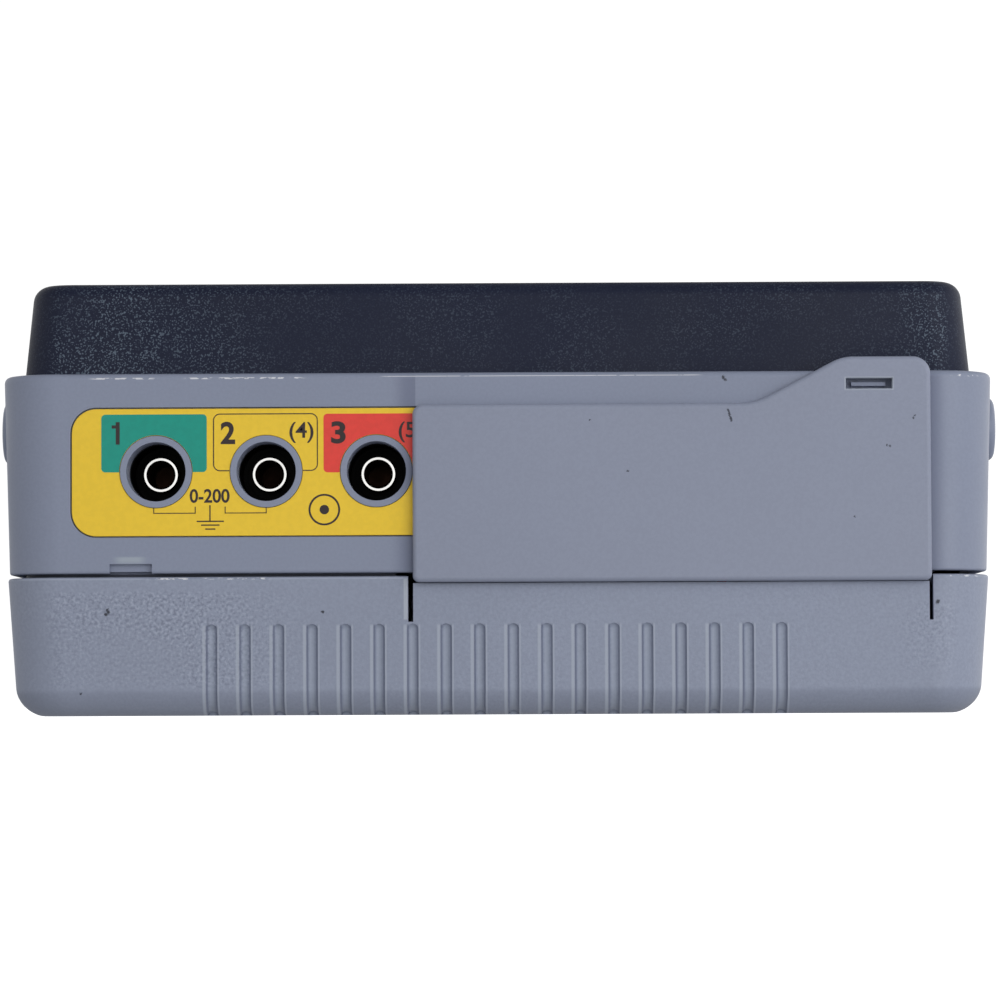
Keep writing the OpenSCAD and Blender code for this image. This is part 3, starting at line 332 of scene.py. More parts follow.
def slab(name, half_x, half_y, low, high, radius, segments=12):
    """A rounded box in the middle of the object, from one height to another."""
    return rounded_block(name, (-half_x, -half_y, low), (half_x, half_y, high), radius, segments)


def rod(name, base, axis, radius, length, sides=64):
    """A cylinder from the middle of its base along an axis."""
    place = (Vector(base) + Vector(ALONG[axis]) * length / 2) * MM
    deselect()
    bpy.ops.mesh.primitive_cylinder_add(vertices=sides, radius=radius * MM, depth=length * MM,
                                        location=place, rotation=TURN[axis])
    return settle(name)


def arc(r, h, radius, start, end, steps=5):
    """Points of a quarter round or less in a half profile, angles in degrees."""
    angles = [math.radians(start + (end - start) * k / steps) for k in range(steps + 1)]
    return [(r + radius * math.cos(a), h + radius * math.sin(a)) for a in angles]


def turned(name, profile, base, axis, steps=64):
    """A turned piece: one point is extruded along its half profile, which is then spun."""
    deselect()
    bpy.ops.mesh.primitive_plane_add(size=MM)
    piece = bpy.context.object
    bpy.ops.object.mode_set(mode="EDIT")
    bpy.ops.mesh.select_mode(type="VERT")
    bpy.ops.mesh.select_all(action="SELECT")
    bpy.ops.mesh.merge(type="CENTER")
    here = (0, 0)
    for k, point in enumerate(profile):
        move = Vector((point[0] - here[0], 0, point[1] - here[1])) * MM
        if k == 0:
            bpy.ops.transform.translate(value=move)
        else:
            bpy.ops.mesh.extrude_region_move(TRANSFORM_OT_translate={"value": move})
        here = point
    bpy.ops.mesh.select_all(action="SELECT")
    bpy.ops.mesh.spin(steps=steps, angle=2 * math.pi, center=(0, 0, 0), axis=(0, 0, 1))
    weld()
    piece.rotation_euler = TURN[axis]
    piece.location = Vector(base) * MM
    return settle(name)


print("primitives ready")


# %% Combine and finish
def carve(piece, tool, how="DIFFERENCE"):
    """Cuts a tool out of a piece, or adds it, and applies the result."""
    change = piece.modifiers.new("cut", "BOOLEAN")
    change.operation = how
    change.solver = "EXACT"
    change.object = tool
    bpy.context.view_layer.objects.active = piece
    bpy.ops.object.modifier_apply(modifier=change.name)
    bpy.data.objects.remove(tool)
    return piece


def join(name, pieces):
    """Several meshes as one object."""
    deselect()
    for piece in pieces:
        piece.select_set(True)
    bpy.context.view_layer.objects.active = pieces[0]
    bpy.ops.object.join()
    return settle(name)


def drill(piece, name, spots, low, radius, length, sides=32):
    """Cuts upright rods that start at a height out of a piece, one at each spot."""
    for px, py in spots:
        carve(piece, rod(name, (px, py, low), "z", radius, length, sides))


def drill_front(piece, name, start_y, radius, length, sides=72):
    """Cuts rods that run back from the front out of a piece, one at each terminal."""
    for x in terminal_x:
        carve(piece, rod(name, (x, start_y, terminal_z), "y", radius, length, sides))


def turn_about(piece, degrees, spot_xy):
    """Turns a piece made at the origin about the upright axis and moves it to a spot."""
    piece.rotation_euler = (0, 0, math.radians(degrees))
    piece.location = Vector((*spot_xy, 0)) * MM
    return settle(piece.name)


def finish(piece, coat, node=None, body="case"):
    """Smooth shading, material, body and the CAD node that the piece stands for."""
    deselect()
    bpy.context.view_layer.objects.active = piece
    piece.select_set(True)
    bpy.ops.object.shade_smooth_by_angle(angle=math.radians(SMOOTH))
    even = piece.modifiers.new("even shading", "WEIGHTED_NORMAL")
    even.keep_sharp = True
    bpy.ops.object.modifier_apply(modifier=even.name)
    piece.data.materials.clear()
    piece.data.materials.append(coat)
    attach(piece, body)
    if node:
        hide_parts(node)
    print(piece.name, "faces", len(piece.data.polygons))
    return piece


print("cutting and finishing helpers ready")

# %% [markdown]
# ## Moulded plastic
# The grey and navy mouldings are ABS. An etched or sparked mould leaves a grain, which breaks
# the highlight into small glints, and handling leaves pale scuffs on the edges. The grain is
# bump from a noise and soft cells. Its glints and the light and shade on its crests and pits
# are painted on as pale and dark colours. Scuffs and nicks are other colours under masks that
# say where on the front they lie, and so are painted shadows, painted shade in the seam and the
# grooves, and painted highlights along some edges.

# %% Plastic finishes
def per_mm(size):
    """Texture scale for a pattern whose cells are that many millimetres wide."""
    return 1 / (size * MM)


def place(tree):
    return add(tree, "TexCoord").outputs["Object"]


def noise(tree, size, detail=2, vector=None):
    """Noise with lumps of about that size, in millimetres."""
    return add(tree, "TexNoise", {"Vector": vector or place(tree), "Scale": per_mm(size) / 2,
                                  "Detail": detail}).outputs[0]


def blend(tree, share, a, b):
    """Two colours mixed by a share; each is a hex colour or a socket."""
    a, b = [linear(c) if isinstance(c, str) else c for c in (a, b)]
    return add(tree, "Mix", {0: share, 6: a, 7: b}, data_type="RGBA").outputs[2]


def bump(tree, shader, heights, depth):
    """Raises the surface by a height from 0 to 1 times a depth in millimetres."""
    made = add(tree, "Bump", {"Height": heights, "Distance": depth * MM, "Strength": 1.0})
    tree.links.new(made.outputs[0], shader.inputs["Normal"])


def field(tree, x, z, most=1.0):
    """A mask over part of the front: x and z each say where it is 0, most, most and 0 again."""
    value = add(tree, "SeparateXYZ", {0: place(tree)}).outputs
    mask = ramp(tree, value[Y], (front + 9) * MM, (front + 7) * MM, 0, most)
    for axis, (start, full, still, end) in ((X, x), (Z, z)):
        mask = maths(tree, "MULTIPLY", mask, ramp(tree, value[axis], start * MM, full * MM))
        mask = maths(tree, "MULTIPLY", mask, ramp(tree, value[axis], end * MM, still * MM))
    return mask


def painted_grain_light(tree, base, size, light, dark, least, fields):
    """Painted highlights on the crests and painted shade in the pits of a coarse grain, strong in
    some fields.
    """
    share = least
    for x, z, most in fields:
        share = maths(tree, "MAXIMUM", share, field(tree, x, z, most))
    share = maths(tree, "MULTIPLY", share, ramp(tree, noise(tree, 8), 0.35, 0.6, 0.35, 1))
    lumps = noise(tree, size, 1)
    # Each mask paints the grain's light on its crests and its shade in its pits
    for colour, low, high in ((dark, 0.46, 0.36), (light, 0.56, 0.64)):
        worn = maths(tree, "MULTIPLY", ramp(tree, lumps, low, high), share)
        base = blend(tree, worn, base, colour)
    return base


def marked(tree, base, colour, level_y, spots):
    """Small nicks in a front wall at (x, height, radius), with ragged outlines."""
    shake = add(tree, "TexNoise", {"Vector": place(tree), "Scale": per_mm(0.3)}).outputs["Color"]
    ragged = add(tree, "VectorMath", {0: shake, 1: (0.6 * MM,) * 3, 2: place(tree)},
                 operation="MULTIPLY_ADD").outputs[0]
    for x, z, radius in spots:
        centre = ((x + 0.3) * MM, (level_y + 0.3) * MM, (z + 0.3) * MM)
        away = add(tree, "VectorMath", {0: ragged, 1: centre}, operation="DISTANCE")
        nick = ramp(tree, away.outputs["Value"], 0.4 * radius * MM, radius * MM, 0.9, 0)
        base = blend(tree, nick, base, colour)
    return base


def edge_scuffs_and_highlights(tree, base, z, width, amount, spans, colour="#E2E4EA"):
    """Ragged pale wear along an edge of the front at a height, over some spans in x; a large amount
    makes the band nearly solid, a painted highlight along the edge.
    """
    drawn_out = add(tree, "VectorMath", {0: place(tree), 1: (0.4, 1, 1)}, operation="MULTIPLY")
    ragged = ramp(tree, noise(tree, 0.25, 3, drawn_out.outputs[0]), 0.64 - amount, 0.7 - amount)
    for start, end in spans:
        here = field(tree, (start - 1, start + 1, end - 1, end + 1),
                     [z + width * share for share in (-1, -0.4, 0.4, 1)])
        base = blend(tree, maths(tree, "MULTIPLY", ragged, here), base, colour)
    return base


def grained(name, colour, roughness, grain, depth, tone, specular=0.4, worn=None):
    """A plastic, ink or board with grain; worn is a function that lays marks of wear and painted
    light and shade over its colour.
    """
    made, tree, shader = new_material(name, colour, roughness, specular)
    fine = noise(tree, grain, 3)
    cells = add(tree, "TexVoronoi", {"Vector": place(tree), "Scale": per_mm(grain)},
                feature="SMOOTH_F1").outputs[0]
    height = maths(tree, "MULTIPLY_ADD", cells, 0.6, fine)
    bump(tree, shader, height, depth)
    drift = ramp(tree, noise(tree, 18), 0.3, 0.7, 1 - tone, 1 + tone)
    fleck = ramp(tree, fine, 0.35, 0.65, 1 - tone, 1 + tone)
    tones = maths(tree, "MULTIPLY", drift, fleck)
    base = add(tree, "VectorMath", {0: linear(colour)[:3], "Scale": tones},
               operation="SCALE").outputs[0]
    if worn:
        base = worn(tree, base)
    tree.links.new(base, shader.inputs["Base Color"])
    rough = ramp(tree, noise(tree, 9), 0.3, 0.7, roughness - 0.05, roughness + 0.06)
    tree.links.new(rough, shader.inputs["Roughness"])
    return made


print("wear and grain ready")

# %% Plastics of the case, with their marks of use and their painted light and shade
DIRT = "#20222B"
groove_n, pitch, groove_top = 18, 5.3, 14.5
groove_x = [(i - (groove_n - 1) / 2) * pitch - 0.25 for i in range(groove_n)]
window_x, window_z = (55.1, 62.4), ledge - 2.2


def middle_wear_and_painted_light(tree, base):
    """Painted shade in the seam, painted shadows beside the shutter, a painted highlight over the
    notch, a scuffed ledge, nicks.
    """
    height = add(tree, "SeparateXYZ", {0: place(tree)}).outputs[Z]
    # Painted shade: the skirt behind the open seam is painted near black below the seam edge
    painted_seam_shade = ramp(tree, height, seam_high * MM, (seam_high - 0.1) * MM, 0, 0.85)
    base = blend(tree, painted_seam_shade, base, "#1B1F2E")
    # Painted shadows on the wall beside the right and the left end of the shutter
    for x in ((68.2, 68.4, 68.6, 71.5), (-17.2, -13.8, -13, -12.9)):
        shade = field(tree, x, (22.4, 23, 53, 54.2), 0.55)
        base = blend(tree, shade, base, "#636A84")
    # Painted highlight: a pale patch over the release notch
    notch_painted_highlight = field(tree, (-61.3, -59.2, -57, -55.1), (23.7, 24.6, 24.9, 25.3), 0.8)
    base = blend(tree, notch_painted_highlight, base, "#A9B3BF")
    base = edge_scuffs_and_highlights(tree, base, ledge - 0.8, 0.18, 0.16, [(-64, -54.5), (-49, -31)])
    base = edge_scuffs_and_highlights(tree, base, ledge - 0.8, 0.2, 0.08, [(68, 76)])
    base = edge_scuffs_and_highlights(tree, base, ledge - 0.62, 0.07, 0.3, [(-18, 32)])
    return marked(tree, base, DIRT, front,
                  [(35.8, 53.2, 0.4), (36.1, 52.8, 0.35), (-61.5, 32.7, 0.3)])


def shutter_wear_and_painted_highlight(tree, base):
    """A painted highlight round the window, a few nicks and one short scratch."""
    # Painted highlight round the edge of the window
    window_highlight_x = (window_x[0] - 0.35, window_x[0] - 0.15, window_x[1] + 0.15, window_x[1] + 0.35)
    window_highlight_z = [window_z + step for step in (-1.15, -0.95, 0.95, 1.15)]
    base = blend(tree, field(tree, window_highlight_x, window_highlight_z, 0.5), base, "#BCC5D0")
    nicks = [(36.45 + 0.09 * k, 47.9 - 0.28 * k, 0.26) for k in range(7)]
    nicks += [(65.7, 46.5, 0.3), (65.9, 46.9, 0.2), (62.0, 42.1, 0.28), (61.5, 42.2, 0.16),
              (56.3, 31.0, 0.24), (14.6, 46.4, 0.2), (20.6, 38.3, 0.25)]
    return marked(tree, base, "#2D313E", front - 1.8, nicks)


def lower_wear_and_painted_light(tree, base):
    """Painted light and shade on the grain, the bottom, the grooves and a slit edge; a scuffed lip
    with a painted highlight; nicks.
    """
    # Painted highlights on the crests and painted shade in the pits of the grain at both ends
    base = painted_grain_light(tree, base, 0.24, "#AAB2C6", "#798094", 0.12,
                  [((-73, -69, -54, -22), (3.5, 5.5, 18.5, 20.5), 0.8),
                   ((60, 68, 71, 74), (5, 8, 16, 19), 0.4)])
    # Painted shade: a darker band along the bottom rounding
    base = blend(tree, field(tree, (-90, -89, 89, 90), (-2, -1, 3.3, 4.3), 0.3), base, "#7C8294")
    first, last = groove_x[0], groove_x[-1]
    row = field(tree, (first - 1.6, first - 1.5, last + 1.5, last + 1.6),
                (-1, 0, groove_top - 0.5, groove_top))
    x = add(tree, "SeparateXYZ", {0: place(tree)}).outputs[X]
    along = maths(tree, "ADD", x, (pitch / 2 - first) * MM)
    turn = maths(tree, "FLOORED_MODULO", along, pitch * MM)
    # Painted highlights on both shoulders and in the middle of each groove, painted shade on its
    # flanks
    painted_shoulder_highlights = [(-1.2, 0.34, "#B4BCCB", 0.6), (1.05, 0.2, "#B4BCCB", 0.5),
                 (0, 0.5, "#A9B3C4", 0.4)]
    painted_flank_shade = [(-0.74, 0.2, "#5D647A", 0.6), (0.76, 0.22, "#5D647A", 0.4)]
    for centre, width, colour, most in painted_shoulder_highlights + painted_flank_shade:
        away = maths(tree, "ABSOLUTE", maths(tree, "SUBTRACT", turn, (pitch / 2 + centre) * MM))
        line = ramp(tree, away, 0.4 * width * MM, width * MM, most, 0)
        base = blend(tree, maths(tree, "MULTIPLY", line, row), base, colour)
    # Painted highlight on the edge beside the left slit
    slit_edge_highlight = field(tree, (-15, -14.8, -14.35, -14.2), (14.9, 15.2, 21.5, 21.9), 0.5)
    base = blend(tree, slit_edge_highlight, base, "#C5CCD6")
    base = edge_scuffs_and_highlights(tree, base, seam_low - 0.3, 0.2, 0.12, [(-55, -36), (-20.5, -15.5), (71, 76)])
    # Painted highlight: a nearly solid pale band along the top edge of the lip
    base = edge_scuffs_and_highlights(tree, base, seam_low - 0.3, 0.2, 0.4, [(-76, -56), (-36, -14)], "#A3ABBF")
    nicks = [(-61.8, 16.8, 0.33), (-61.6, 16.4, 0.4), (-62, 16.05, 0.36), (-27.7, 16.3, 0.36),
             (69.5, 17.5, 0.5), (-66, 3.5, 0.3), (-62.3, 1.9, 0.3), (-30.5, 3.3, 0.2)]
    return marked(tree, base, DIRT, lower_front, nicks)


def cover_painted_glints(tree, base):
    """Painted glints on the crests of the coarse grain and painted shade in its pits, at both ends
    and here and there between them.
    """
    # Painted glints on the grain crests and painted shade in its pits
    return painted_grain_light(tree, base, 0.14, "#93A6B8", "#11162A", 0.1,
                  [((-72.6, -69.6, -65, -15), (50, 51, 70, 74), 0.36),
                   ((60, 69, 71, 72.6), (50, 51, 64, 74), 0.4)])


satin_abs = grained("satin_abs_grey", "#8D95AB", 0.42, 0.25, 0.006, 0.02, worn=middle_wear_and_painted_light)
shutter_abs = grained("satin_abs_shutter", "#9299AE", 0.4, 0.25, 0.005, 0.02, worn=shutter_wear_and_painted_highlight)
leather_abs = grained("leather_grain_abs_grey", "#949CB1", 0.45, 0.25, 0.02, 0.03, worn=lower_wear_and_painted_light)
navy_abs = grained("spark_grain_abs_navy", "#1A2036", 0.5, 0.15, 0.015, 0.05, 0.22, worn=cover_painted_glints)
print("plastics ready")

# %% [markdown]
# ## Middle moulding
# The band with the terminals is a tray turned over: a ledge on top, thin walls, and three
# collars in the front wall. A rounded box gives the outside and a second one hollows it. The
# pocket of the label is cut 1 mm deep round the collars, and every cut edge in the front wall
# gets a fine round, because a moulded edge is never quite sharp.

# %% Middle moulding: outside and hollow
wall, corner = 2.5, 9
foot_half, back_lean = half_w - 0.9, 0.45
middle_case = rounded_block("middle_shell", (-foot_half, front, seam_high),
                            (foot_half, back - back_lean, ledge), corner, 16)
stretch(middle_case, lambda v: spot(v).z > ledge - 1,
        (half_w / foot_half, 2 * back / (2 * back - back_lean), 1), (0, front, ledge))
soften(middle_case, at(Z, ledge), 1.0, 5)
soften(middle_case, at(Z, seam_high), 0.4, 3)
hollow = rounded_block("hollow", (-foot_half + wall, front + wall, seam_high - 1),
                       (foot_half - wall, back - wall - back_lean, ledge - 3.2), corner - wall)
pillar_spots = [(sx * 66, sy * 40) for sx in (-1, 1) for sy in (-1, 1)]
pillar_r, screw_r = 4.2, 1.55
drill(hollow, "pillar", pillar_spots, seam_high, pillar_r, 27.8)
terminal_x = [-54.05, -36.6, -19.15]
terminal_z = 38.6
drill_front(hollow, "tunnel", front, 6.1, 6.6, 48)
carve(middle_case, hollow)
opening = rounded_block("opening", (-72, front + 7, ledge - 4), (72, back - 7, ledge + 1), 5.3)
carve(middle_case, opening)
print("middle shell faces", len(middle_case.data.polygons))

# %% Middle moulding: label pocket, collars and cuts
label_low, label_high = (-67.4, 28.4), (-5.0, 48.6)
collar_r, bore_r = 5.7, 4.7
pocket = rounded_block("pocket", (label_low[0] - 0.2, front - 1, label_low[1] - 0.2),
                       (label_high[0] + 0.2, front + 1, label_high[1] + 0.2), 4.1, 12, Y)
drill_front(pocket, "collar", front - 2, collar_r, 5)
carve(middle_case, pocket)
drill_front(middle_case, "bore", front - 2, bore_r, 10)
drill(middle_case, "hole", pillar_spots, seam_high - 1, screw_r, 40, 24)
notch_x = (-61.4, -54.7)
carve(middle_case, block("notch", (notch_x[0], front - 1, seam_high - 1),
                         (notch_x[1], front + wall + 0.4, seam_high + 1.5)))
carve(middle_case, block("track", (-1.5, front + 1.3, ledge - 1.7), (63.1, front + 2.6, ledge + 1)))
soften(middle_case, at(Y, front, 30), 0.14, 3)
print("middle shell faces", len(middle_case.data.polygons))

# %% Middle moulding: skirt that lines the two halves up, and the click ridge
def ring(name, half, y0, y1, z0, z1, thick, radius):
    """A rounded frame of that wall thickness."""
    made = rounded_block(name, (-half, y0, z0), (half, y1, z1), radius)
    inside = rounded_block("inside", (-half + thick, y0 + thick, z0 - 1),
                           (half - thick, y1 - thick, z1 + 1), radius - thick)
    return carve(made, inside)


skirt = ring("skirt", foot_half - wall - 0.1, front + wall + 0.3, back - wall - 0.6,
             seam_high - 2.4, seam_high + 0.4, 1.6, corner - wall)
carve(skirt, block("gap", (-16.2, front, seam_high - 3), (78, front + 10, seam_high)))
fixing = ring("fixing", half_w - 1, front + 1, back - 1, seam_high + 0.3, seam_high + 2, 4, corner)
carve(skirt, fixing, "UNION")
carve(middle_case, skirt, "UNION")
carve(middle_case, block("click_recess", (window_x[0] - 0.2, front - 1, window_z - 1),
                         (window_x[1] + 0.2, front + 1.1, window_z + 1)))
ridge = block("ridge", (window_x[0] + 0.9, front - 0.1, window_z - 0.35),
              (window_x[1] - 0.9, front + 1.4, window_z + 0.35))
soften(ridge, at(Y, front - 0.1), 0.1, 3)
carve(middle_case, ridge, "UNION")
finish(middle_case, satin_abs, "middle_case")

# %% [markdown]
# ## Lower moulding
# The lower half is a deep tray with a soft bottom edge and eighteen finger grooves. A groove is
# the path of a round cutter that comes down the front and rolls under the edge, so one cutter
# is modelled as a rod with a domed top and a spun lower bend, then copied in a row and cut out.

# %% Lower moulding: outside and hollow
bottom_r = 4.3
lower_case = slab("lower_shell", lower_half, -lower_front, 0, seam_low, corner, 16)
stretch(lower_case, lambda v: spot(v).z < 1, ((lower_half - 1.6) / lower_half,
                                              1 + 0.3 / lower_front, 1), (0, lower_front, 0))
soften(lower_case, at(Z, 0), bottom_r, 10, 0.47)
soften(lower_case, at(Z, seam_low), 0.45, 3)
hollow = rounded_block("hollow", (-lower_half + wall + 0.6, lower_front + wall, wall),
                       (lower_half - wall - 0.6, -lower_front - wall - 0.3, seam_low + 1),
                       corner - wall)
carve(hollow, slab("battery_box", 47.5, 31.35, 0, 19.45, 2, 4))
drill(hollow, "pillar", pillar_spots, 0, pillar_r, 30)
drill(hollow, "post", [(sx * 54, sy * 30.8) for sx in (-1, 1) for sy in (-1, 1)], 0, 3.5, 30)
ear_y = 31.85
carve(hollow, rod("ear_boss", (0, ear_y, 0), "z", 4.8, 10, 32))
carve(lower_case, hollow)
print("lower shell faces", len(lower_case.data.polygons))

# %% Lower moulding: battery bay, screw wells and slits
carve(lower_case, slab("bay", 44.1, 27.95, -1, 18.05, 1, 4))
carve(lower_case, slab("door_seat", 46.8, 30.65, -1, 2.2, 2, 6))
carve(lower_case, rod("ear_seat", (0, ear_y, -1), "z", 5.3, 3.2, 48))
carve(lower_case, rod("ear_hole", (0, ear_y, -1), "z", 2.2, 9.6, 32))
for pillar in pillar_spots:
    drill(lower_case, "well", [pillar], -1, 3.1, 10, 48)
    drill(lower_case, "hole", [pillar], 8, screw_r, 20, 24)
tongue_x = (-30, 30)
for x in tongue_x:
    carve(lower_case, block("tongue_slot", (x - 5.3, -33.15, 0.9), (x + 5.3, -29.35, 3.6)))
slits = [(-14.2, -13.4), (68.2, 68.8)]
for x0, x1 in slits:
    carve(lower_case, block("slit", (x0, lower_front - 1, 14.7),
                            (x1, lower_front + 3, seam_low + 1)))
carve(lower_case, block("step", (slits[0][0], lower_front - 1, 20.8),
                        (slits[1][1], lower_front + 3, seam_low + 1)))
soften(lower_case, at(Z, 0, 60), 0.3, 2)
print("lower shell faces", len(lower_case.data.polygons))

# %% Lower moulding: finger grooves
groove_r, groove_depth = 1.0, 0.64
axis_y = lower_front - (groove_r - groove_depth)
deselect()
bpy.ops.mesh.primitive_circle_add(vertices=28, radius=groove_r * MM,
                                  location=Vector((0, axis_y, bottom_r)) * MM)
cutter = settle("groove_cutter")
edit(cutter, "VERT", everything)
bpy.ops.mesh.extrude_region_move(
    TRANSFORM_OT_translate={"value": (0, 0, (groove_top - groove_r - bottom_r) * MM)})
dome_steps = 6
for k in range(1, dome_steps):
    a, b = math.radians(90 * (k - 1) / dome_steps), math.radians(90 * k / dome_steps)
    bpy.ops.mesh.extrude_region_move(
        TRANSFORM_OT_translate={"value": (0, 0, groove_r * (math.sin(b) - math.sin(a)) * MM)})
    shrink = math.cos(b) / math.cos(a)
    bpy.ops.transform.resize(value=(shrink, shrink, 1), center_override=(0, axis_y * MM, 0))
bpy.ops.mesh.edge_face_add()
leave()
edit(cutter, "EDGE", at(Z, bottom_r))
bpy.ops.mesh.spin(steps=12, angle=math.radians(90), axis=(-1, 0, 0),
                  center=Vector((0, lower_front + bottom_r, bottom_r)) * MM)
bpy.ops.mesh.edge_face_add()
weld()
print("groove cutter reaches down to", round(min(v.co.z for v in cutter.data.vertices) / MM, 2))
cutters = [cutter] + [cutter.copy() for _ in groove_x[1:]]
for other in cutters[1:]:
    other.data = cutter.data.copy()
    scene.collection.objects.link(other)
for other, x in zip(cutters, groove_x):
    other.location = Vector((x, 0, 0)) * MM
carve(lower_case, join("grooves", cutters))
reach = max(groove_x) + groove_r + 0.2
soften(lower_case, lambda e: abs(spot(e).x) < reach and spot(e).y < lower_front + bottom_r + 0.2
       and spot(e).z < groove_top + 0.2 and turns(e, 28), 0.45, 4)
finish(lower_case, leather_abs, "lower_case")

# %% [markdown]
# ## Dark cover
# The upper case is a frame round the deep operating face. Its wall leans in and its rim is
# round outside and crisp inside.

# %% Dark cover
lean = 1.4
upper_case = slab("cover_shell", upper_half, -upper_front, ledge, rim, 6.4, 16)
stretch(upper_case, lambda v: spot(v).z > rim - 1,
        ((upper_half - lean) / upper_half, (-upper_front - lean) / -upper_front, 1), (0, 0, rim))
soften(upper_case, at(Z, rim), 2.4, 8)
cover_foot, panel_z = 50.5, 58
carve(upper_case, slab("skirt", 71.7, 45.2, cover_foot, ledge + 0.5, 5), "UNION")
carve(upper_case, slab("face_recess", 71, 44.5, panel_z, rim + 1, 4))
carve(upper_case, slab("shelf_hole", 65, 38.5, panel_z - 3, panel_z + 1, 2, 6))
inside = slab("inside", 69.7, 43.2, 49, panel_z - 2, 3, 6)
drill(inside, "pillar", pillar_spots, cover_foot, pillar_r, 10)
carve(upper_case, inside)
soften(upper_case, at(Z, rim, 60), 0.7, 4)
finish(upper_case, navy_abs, "upper_case")

# %% [markdown]
# ## Terminals
# Behind the collars stands a block of black polyamide with three deep wells, and in each well a
# plated brass tube in a black sleeve. Only the rim of a tube catches the light, so the rim is
# bright nickel and the bore is dark with use.

# %% Terminal finishes
def metal(name, colour, roughness, tone, size=3):
    """A plated or bare metal whose polish varies in patches of that size."""
    made, tree, shader = new_material(name, colour, roughness, 0.5)
    shader.inputs["Metallic"].default_value = 1
    patches = noise(tree, size, 4)
    tones = ramp(tree, patches, 0.3, 0.7, 1 - tone, 1)
    base = add(tree, "VectorMath", {0: linear(colour)[:3], "Scale": tones}, operation="SCALE")
    tree.links.new(base.outputs[0], shader.inputs["Base Color"])
    rough = ramp(tree, patches, 0.3, 0.7, roughness + 0.08, roughness)
    tree.links.new(rough, shader.inputs["Roughness"])
    bump(tree, shader, noise(tree, 0.15), 0.002)
    return made


black_polyamide = grained("black_polyamide", "#060609", 0.45, 0.3, 0.01, 0.06, 0.12)
nickel = metal("nickel_plated_brass", "#FCFBF8", 0.12, 0.02)
dark_bore = metal("worn_contact_bore", "#4A352B", 0.5, 0.3, 1.5)
print("terminal finishes ready")

# %% Well block
tube_tip = front + 10
well_block = block("well_block", (-61.25, -45.8, 31.6), (-11.95, -30, 45.6))
for x in (-59.75, -13.45):
    carve(well_block, block("foot", (x - 1.5, -42.8, 28.6), (x + 1.5, -30, 32)), "UNION")
for x in terminal_x:
    carve(well_block, rod("well", (x, -46.8, terminal_z), "y", 4.6, 10.8, 64))
    carve(well_block, rod("seat", (x, -40, terminal_z), "y", 2.8, 12, 48))
finish(well_block, black_polyamide, "terminal_block")

# %% Contact tubes
tube_profile = [(0, 14), (2, 14), (2, 1.3), (2.3, 0.06), (2.34, 0), (2.69, 0), (2.75, 0.1),
                (2.75, 5.5), (3.75, 5.5), (3.75, 6.45), (2.75, 6.45), (2.75, 16), (0, 16)]
for i, x in enumerate(terminal_x):
    tube = turned(f"contact_tube_{i + 1}", tube_profile, (x, tube_tip, terminal_z), "y")
    finish(tube, nickel, f"terminal_tube_{i + 1}")
    tube.data.materials.append(dark_bore)
    tube.data.materials.append(black_polyamide)
    for face in tube.data.polygons:
        middle = face.center / MM - Vector((x, tube_tip, terminal_z))
        r = math.hypot(middle.x, middle.z)
        if r < 2.31 and middle.y < 14.5:
            face.material_index = 1
        elif r > 2.7 and middle.y < 6.6:
            face.material_index = 2

# %% [markdown]
# ## Label and its printing
# The label is a thick yellow plate in the pocket. Inks lie on it 0.03 mm thick: a green and a
# red field, an outlined box, numbers for the terminals, and lines that lead to the earth sign.

# %% Label plate
label_face = front + 0.2
label_yellow = grained("printed_polycarbonate_yellow", "#FBD337", 0.42, 0.4, 0.003, 0.02)
label = rounded_block("label_plate", (label_low[0], label_face, label_low[1]),
                      (label_high[0], label_face + 0.8, label_high[1]), 3.9, 12, Y)
drill_front(label, "collar", front - 1, collar_r + 0.05, 4)
soften(label, at(Y, label_face, 30), 0.12, 2)
finish(label, label_yellow, "terminal_label")

# %% Inks
INK = 0.03


def ink(name, colour, roughness=0.38):
    return grained(name, colour, roughness, 0.5, 0.002, 0.03)


def ink_patch(name, low, high, radius, line=None):
    """A printed field on the label, or with a line width only its outline."""
    made = rounded_block(name, (low[0], label_face - INK, low[1]), (high[0], label_face, high[1]),
                         radius, 8, Y)
    if line:
        inner = rounded_block("inner", (low[0] + line, label_face - 1, low[1] + line),
                              (high[0] - line, label_face + 1, high[1] - line), radius - line, 8, Y)
        carve(made, inner)
    for x in terminal_x:
        if low[0] < x < high[0]:
            carve(made, rod("collar", (x, front - 2, terminal_z), "y", collar_r + 0.12, 4, 72))
    return made


def stamp(name, words, low, high, level_mm, face="front", bold=0.0):
    """Numbers in ink that fill the box from low to high, on the front or on the top."""
    deselect()
    bpy.ops.object.text_add()
    piece = bpy.context.object
    piece.data.body = words
    piece.data.size = 1
    piece.data.offset = bold
    bpy.ops.object.convert(target="MESH")
    corners = [Vector(c) for c in piece.bound_box]
    start = Vector((min(c.x for c in corners), min(c.y for c in corners), 0))
    size = Vector((max(c.x for c in corners), max(c.y for c in corners), 0)) - start
    edit(piece, "FACE", everything)
    bpy.ops.transform.translate(value=-start)
    bpy.ops.mesh.extrude_region_move(TRANSFORM_OT_translate={"value": (0, 0, INK * MM)})
    bpy.ops.mesh.select_all(action="SELECT")
    bpy.ops.mesh.normals_make_consistent(inside=False)
    leave()
    piece.scale = ((high[0] - low[0]) * MM / size.x, (high[1] - low[1]) * MM / size.y, 1)
    if face == "front":
        piece.rotation_euler = (math.pi / 2, 0, 0)
        piece.location = Vector((low[0], level_mm, low[1])) * MM
    else:
        piece.location = Vector((low[0], low[1], level_mm)) * MM
    return settle(name)


def stroke(start, end, width, base=label_face):
    """A printed line on the label from start to end, level or upright."""
    low = (min(start[0], end[0]) - width / 2, base - INK, min(start[1], end[1]) - width / 2)
    high = (max(start[0], end[0]) + width / 2, base, max(start[1], end[1]) + width / 2)
    return block("stroke", low, high)


